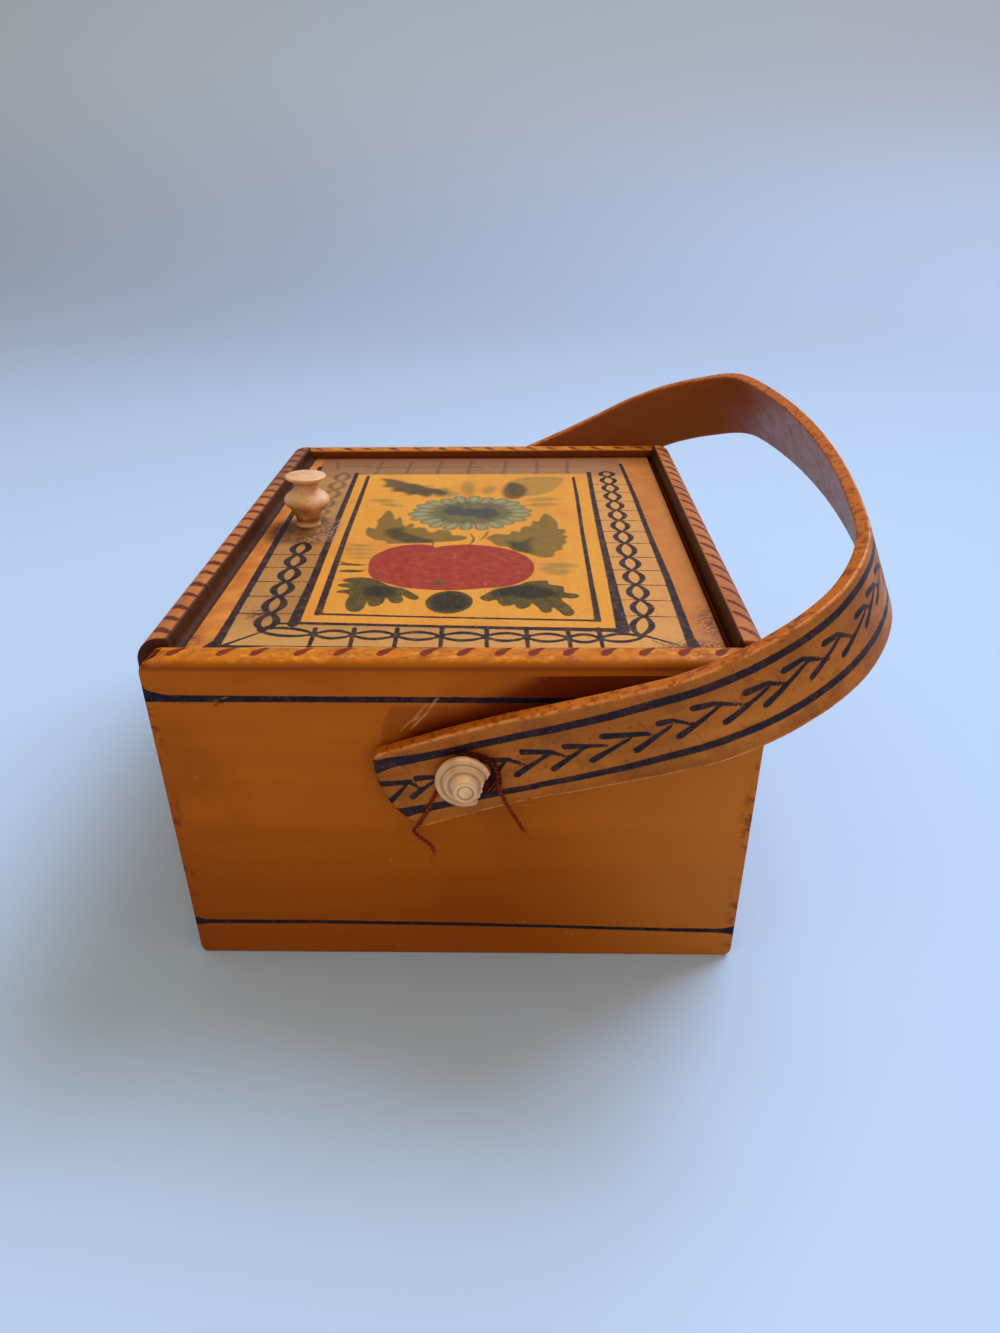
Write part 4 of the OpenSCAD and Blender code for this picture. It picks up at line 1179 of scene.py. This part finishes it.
def make_handle():
    """Bent band: a rounded oblong section, thickness by width, carried along the middle line.
    The first and last rings follow the round-cut leg ends, and the whole sways a little."""
    s, line, normal, total = band_line(0.7)
    s = np.concatenate([s, 2 * total - s[-2::-1]])
    line = np.concatenate([line, line[-2::-1] * [1, -1]])
    normal = np.concatenate([normal, normal[-2::-1] * [1, -1]])
    ring = outline([[BAND_T / 2, -BAND_W / 2], [BAND_T / 2, BAND_W / 2],
                    [-BAND_T / 2, BAND_W / 2], [-BAND_T / 2, -BAND_W / 2]],
                   [0.55, 0.55, 0.5, 0.5], [0.42, 0.5, 1.5, 0.5], 6)
    turn = np.linspace(0, np.pi / 2, 5)[:-1]
    lead = np.linspace(0.5, STRAIGHT_U + 15, 26)[::-1]
    out_by = np.concatenate([STRAIGHT_U + 15.2 - 0.5 * (1 - np.cos(turn)) + 0.3, lead[1:]])
    inset = np.concatenate([0.5 * (1 - np.sin(turn)), np.zeros(lead.size - 1)])
    far_end = END_U - np.sqrt(END_R ** 2 - np.clip(ring[:, 1] - END_N, -END_R, END_R) ** 2)
    rings, s_all = [], []

    def add(off, n, u, v, nu, nv, where):
        sway = np.interp(np.minimum(where, 2 * total - where), SWAY_S, SWAY_N)
        worn = BAND_THIN * np.clip((np.minimum(where, 2 * total - where) - 18) / 40, 0, 1)
        off = off - worn * np.clip(off / (BAND_T / 2), 0, 1)
        rings.append(np.stack([u + off * nu, v + off * nv, n + sway], -1))
        s_all.append(np.broadcast_to(where, n.shape))

    share = out_by / out_by[0]
    for side in (-1, 1):
        for k in range(len(share))[::-side]:
            section = drawn_in(ring, inset[k])
            u = (far_end + inset[0] - inset[k]) * share[k]
            where = u if side < 0 else 2 * total - u
            add(section[:, 0], section[:, 1], u, np.full(u.shape, side * BAND_V), 0.0, side, where)
        if side < 0:
            for k in range(len(s)):
                add(ring[:, 0], ring[:, 1], line[k, 0], -line[k, 1], normal[k, 0],
                    -normal[k, 1], s[k])
    grid, s_all = np.array(rings), np.array(s_all)
    off = np.broadcast_to(ring[:, 0], s_all.shape)
    outer = np.clip((off - (BAND_T / 2 - 0.45)) / 0.3, 0, 1)
    n = grid[..., 2]
    ink = np.where(off > BAND_T / 2 - 0.5, band_art(s_all, n, total), FAR)
    level = np.broadcast_to(ring[:, 1], off.shape)
    rim = np.where(np.abs(level) > BAND_W / 2 - 0.7,
                   np.clip((BAND_T / 2 + 0.3 - np.abs(off)) / 0.6, 0, 1), 0)
    rim = np.where((np.abs(off) < BAND_T / 2 - 0.4) & (np.abs(level) < BAND_W / 2), 1.0, rim)
    # distance from the band's outer top corner, where wear and a painted highlight go
    crest_wear_and_highlight = np.hypot(off - BAND_T / 2, np.abs(level) - BAND_W / 2) - 0.42
    c, sn = np.cos(REST_ANGLE), np.sin(REST_ANGLE)
    u, v, n = grid[..., 0] - BAND_BACK, grid[..., 1], n - BAND_DOWN
    placed = on_pivot(np.stack([u * c - n * sn, v, u * sn + n * c], -1))
    uv = np.stack([s_all, np.broadcast_to(ring[:, 1] + 4 * ring[:, 0], s_all.shape)], -1)
    layers = {"ink": ink, "rim": rim, "crest_wear_and_highlight": crest_wear_and_highlight, "inside": (1 - outer) * (1 - rim)}
    dress(skin("handle_painted", placed, layers, uv), handle_varnish, "handle", "handle_band",
          slot="handle_wood")


make_handle()


# Winding in the front stud's frame: turns, first radius, growth and drift per turn
WIND_TURNS, WIND_R, WIND_STEP, WIND_DRIFT = 2.25, 2.26, 1.35, 0.42
WIND_Z, UNDER_Z = FLANGE_LOW - 0.5, BAND_OUT + 0.45
PLY_R, PLY_OFFSET, PLY_PITCH = 0.2, 0.23, 2.0


def wind_point(t):
    """Point of the winding after t turns: a widening spiral that drifts right."""
    a = 2 * np.pi * (WIND_TURNS - t)
    r = WIND_R + WIND_STEP * t
    return np.stack([WIND_DRIFT * t + r * np.cos(a), r * np.sin(a),
                     WIND_Z - (WIND_Z - UNDER_Z) * np.clip(1 - 2 * t, 0, 1) ** 2], -1)


def cubic(p, count):
    """Smooth curve from the first to the last of four guide points."""
    t = np.linspace(0, 1, count)[:, None]
    p = np.array(p, float)
    return ((1 - t) ** 3 * p[0] + 3 * (1 - t) ** 2 * t * p[1] + 3 * (1 - t) * t * t * p[2]
            + t ** 3 * p[3])


def thread_path():
    """The thread's whole way: left tail, lead to the stud, winding and right tail."""
    start, end = wind_point(np.array(0.0)), wind_point(np.array(WIND_TURNS))
    z = UNDER_Z
    left = cubic([[-6.1, -17.4, z + 0.5], [-6.6, -15.2, z], [-10.9, -13.9, z],
                  [-9.4, -12.3, z]], 60)
    lead = cubic([[-9.4, -12.3, z], [-6.4, -9.1, z], [-3.6, 2.8, z], start], 60)
    wound = wind_point(np.linspace(0, WIND_TURNS, 260))
    right = cubic([end, end + [-0.3, -1.6, 0], [7.2, -5.2, WIND_Z], [10.6, -11, WIND_Z + 0.4]], 60)
    return np.concatenate([left, lead[1:], wound[1:], right[1:]])


def round_path(path, radius, a):
    """Points at a radius from a path, at angle a round it. a has a value for each point of
    the path, or for each point and each place round it."""
    along = unit(np.gradient(path, axis=0))
    across = unit(np.cross(along, [0, 0, 1.0]))
    third = np.cross(across, along)
    for _ in range(np.ndim(a) - 1):
        path, across, third = path[:, None], across[:, None], third[:, None]
    return path + radius * (np.cos(a)[..., None] * across + np.sin(a)[..., None] * third)


def tube(path, radius, sides=7):
    """Rings of a round tube along a path, each square to it."""
    a = np.broadcast_to(np.arange(sides) / sides * 2 * np.pi, (len(path), sides))
    return round_path(path, np.broadcast_to(radius, len(path))[:, None, None], a)


def make_thread():
    """Two plies twisted round each other along the path, with frayed ends."""
    path = thread_path()
    length = np.concatenate([[0], np.cumsum(np.linalg.norm(np.diff(path, axis=0), axis=1))])
    s = np.linspace(0, length[-1], int(length[-1] / 0.12))
    path = np.stack([np.interp(s, length, path[:, k]) for k in range(3)], 1)
    red = thread_finish("red_thread", (150, 58, 30), (98, 26, 10))
    # darker copy for the loops under the flange: painted shade
    dark_red = thread_finish("thread_in_flange_shade", (78, 26, 16), (40, 12, 8))
    for k in (0, 1):
        ply = round_path(path, PLY_OFFSET, s * 2 * np.pi / PLY_PITCH + k * np.pi)
        rings = tube(ply, PLY_R)
        # painted shade on the windings under and beside the flange
        flange_shade = np.clip((6.6 - np.hypot(rings[..., 0], rings[..., 1])) / 0.8, 0, 1)
        piece = skin("thread_ply_%d" % (k + 1), along_stud(rings, -1), {"flange_shade": flange_shade})
        dress(piece, red, "case", "repair_thread", slot="thread")
    for k in range(5):
        a = np.radians(np.linspace(112 - 9 * k, -62 + 9 * k, 90))
        r = 4.6 + 0.24 * k + 0.14 * np.sin(4 * a + k)
        loop = np.stack([0.6 + 0.16 * k + r * np.cos(a), -0.1 * k + r * np.sin(a),
                         UNDER_Z + 0.1 + 0.22 * k + 0.1 * np.sin(2 * a + k)], -1)
        piece = skin("thread_loop_%d" % (k + 1), along_stud(tube(loop, 0.22), -1))
        dress(piece, dark_red, "case", "repair_thread", slot="thread")
    rng = np.random.default_rng(21)
    fibres = []
    for end, way in ((path[0], path[0] - path[3]), (path[-1], path[-1] - path[-4])):
        way = unit(way)
        for k in range(9):
            stray = rng.normal(0, 0.7, 3) * [1, 1, 0.3]
            tip = end + way * rng.uniform(0.8, 2.2) + stray
            fibres.append(cubic([end - way * 0.4, end + way * 0.3, (end + tip) / 2 + stray * 0.4,
                                 tip], 10))
    for k in range(60):
        at = rng.integers(5, len(path) - 5)
        stray = rng.normal(0, 0.55, 3) * [1, 1, 0.4]
        fibres.append(cubic([path[at], path[at] + stray * 0.5, path[at] + stray + rng.normal(
            0, 0.15, 3), path[at] + stray * 1.3], 8))
    points, faces = [], []
    for fibre in fibres:
        grid = along_stud(tube(fibre, np.linspace(0.08, 0.03, len(fibre)), 4), -1)
        rings, around = grid.shape[:2]
        index = np.arange(rings * around).reshape(rings, around) + sum(len(p) for p in points)
        after = np.roll(index, -1, axis=1)
        sides = np.stack([index[:-1], after[:-1], after[1:], index[1:]], -1)
        faces += sides.reshape(-1, 4).tolist()
        faces += [index[0][::-1].tolist(), index[-1].tolist()]
        points.append(grid.reshape(-1, 3))
    mesh = bpy.data.meshes.new("thread_fibres")
    mesh.from_pydata((np.concatenate(points) * MM).tolist(), [], faces)
    dress(put("thread_fibres", mesh), red, "case", "repair_thread", slot="thread")


make_thread()
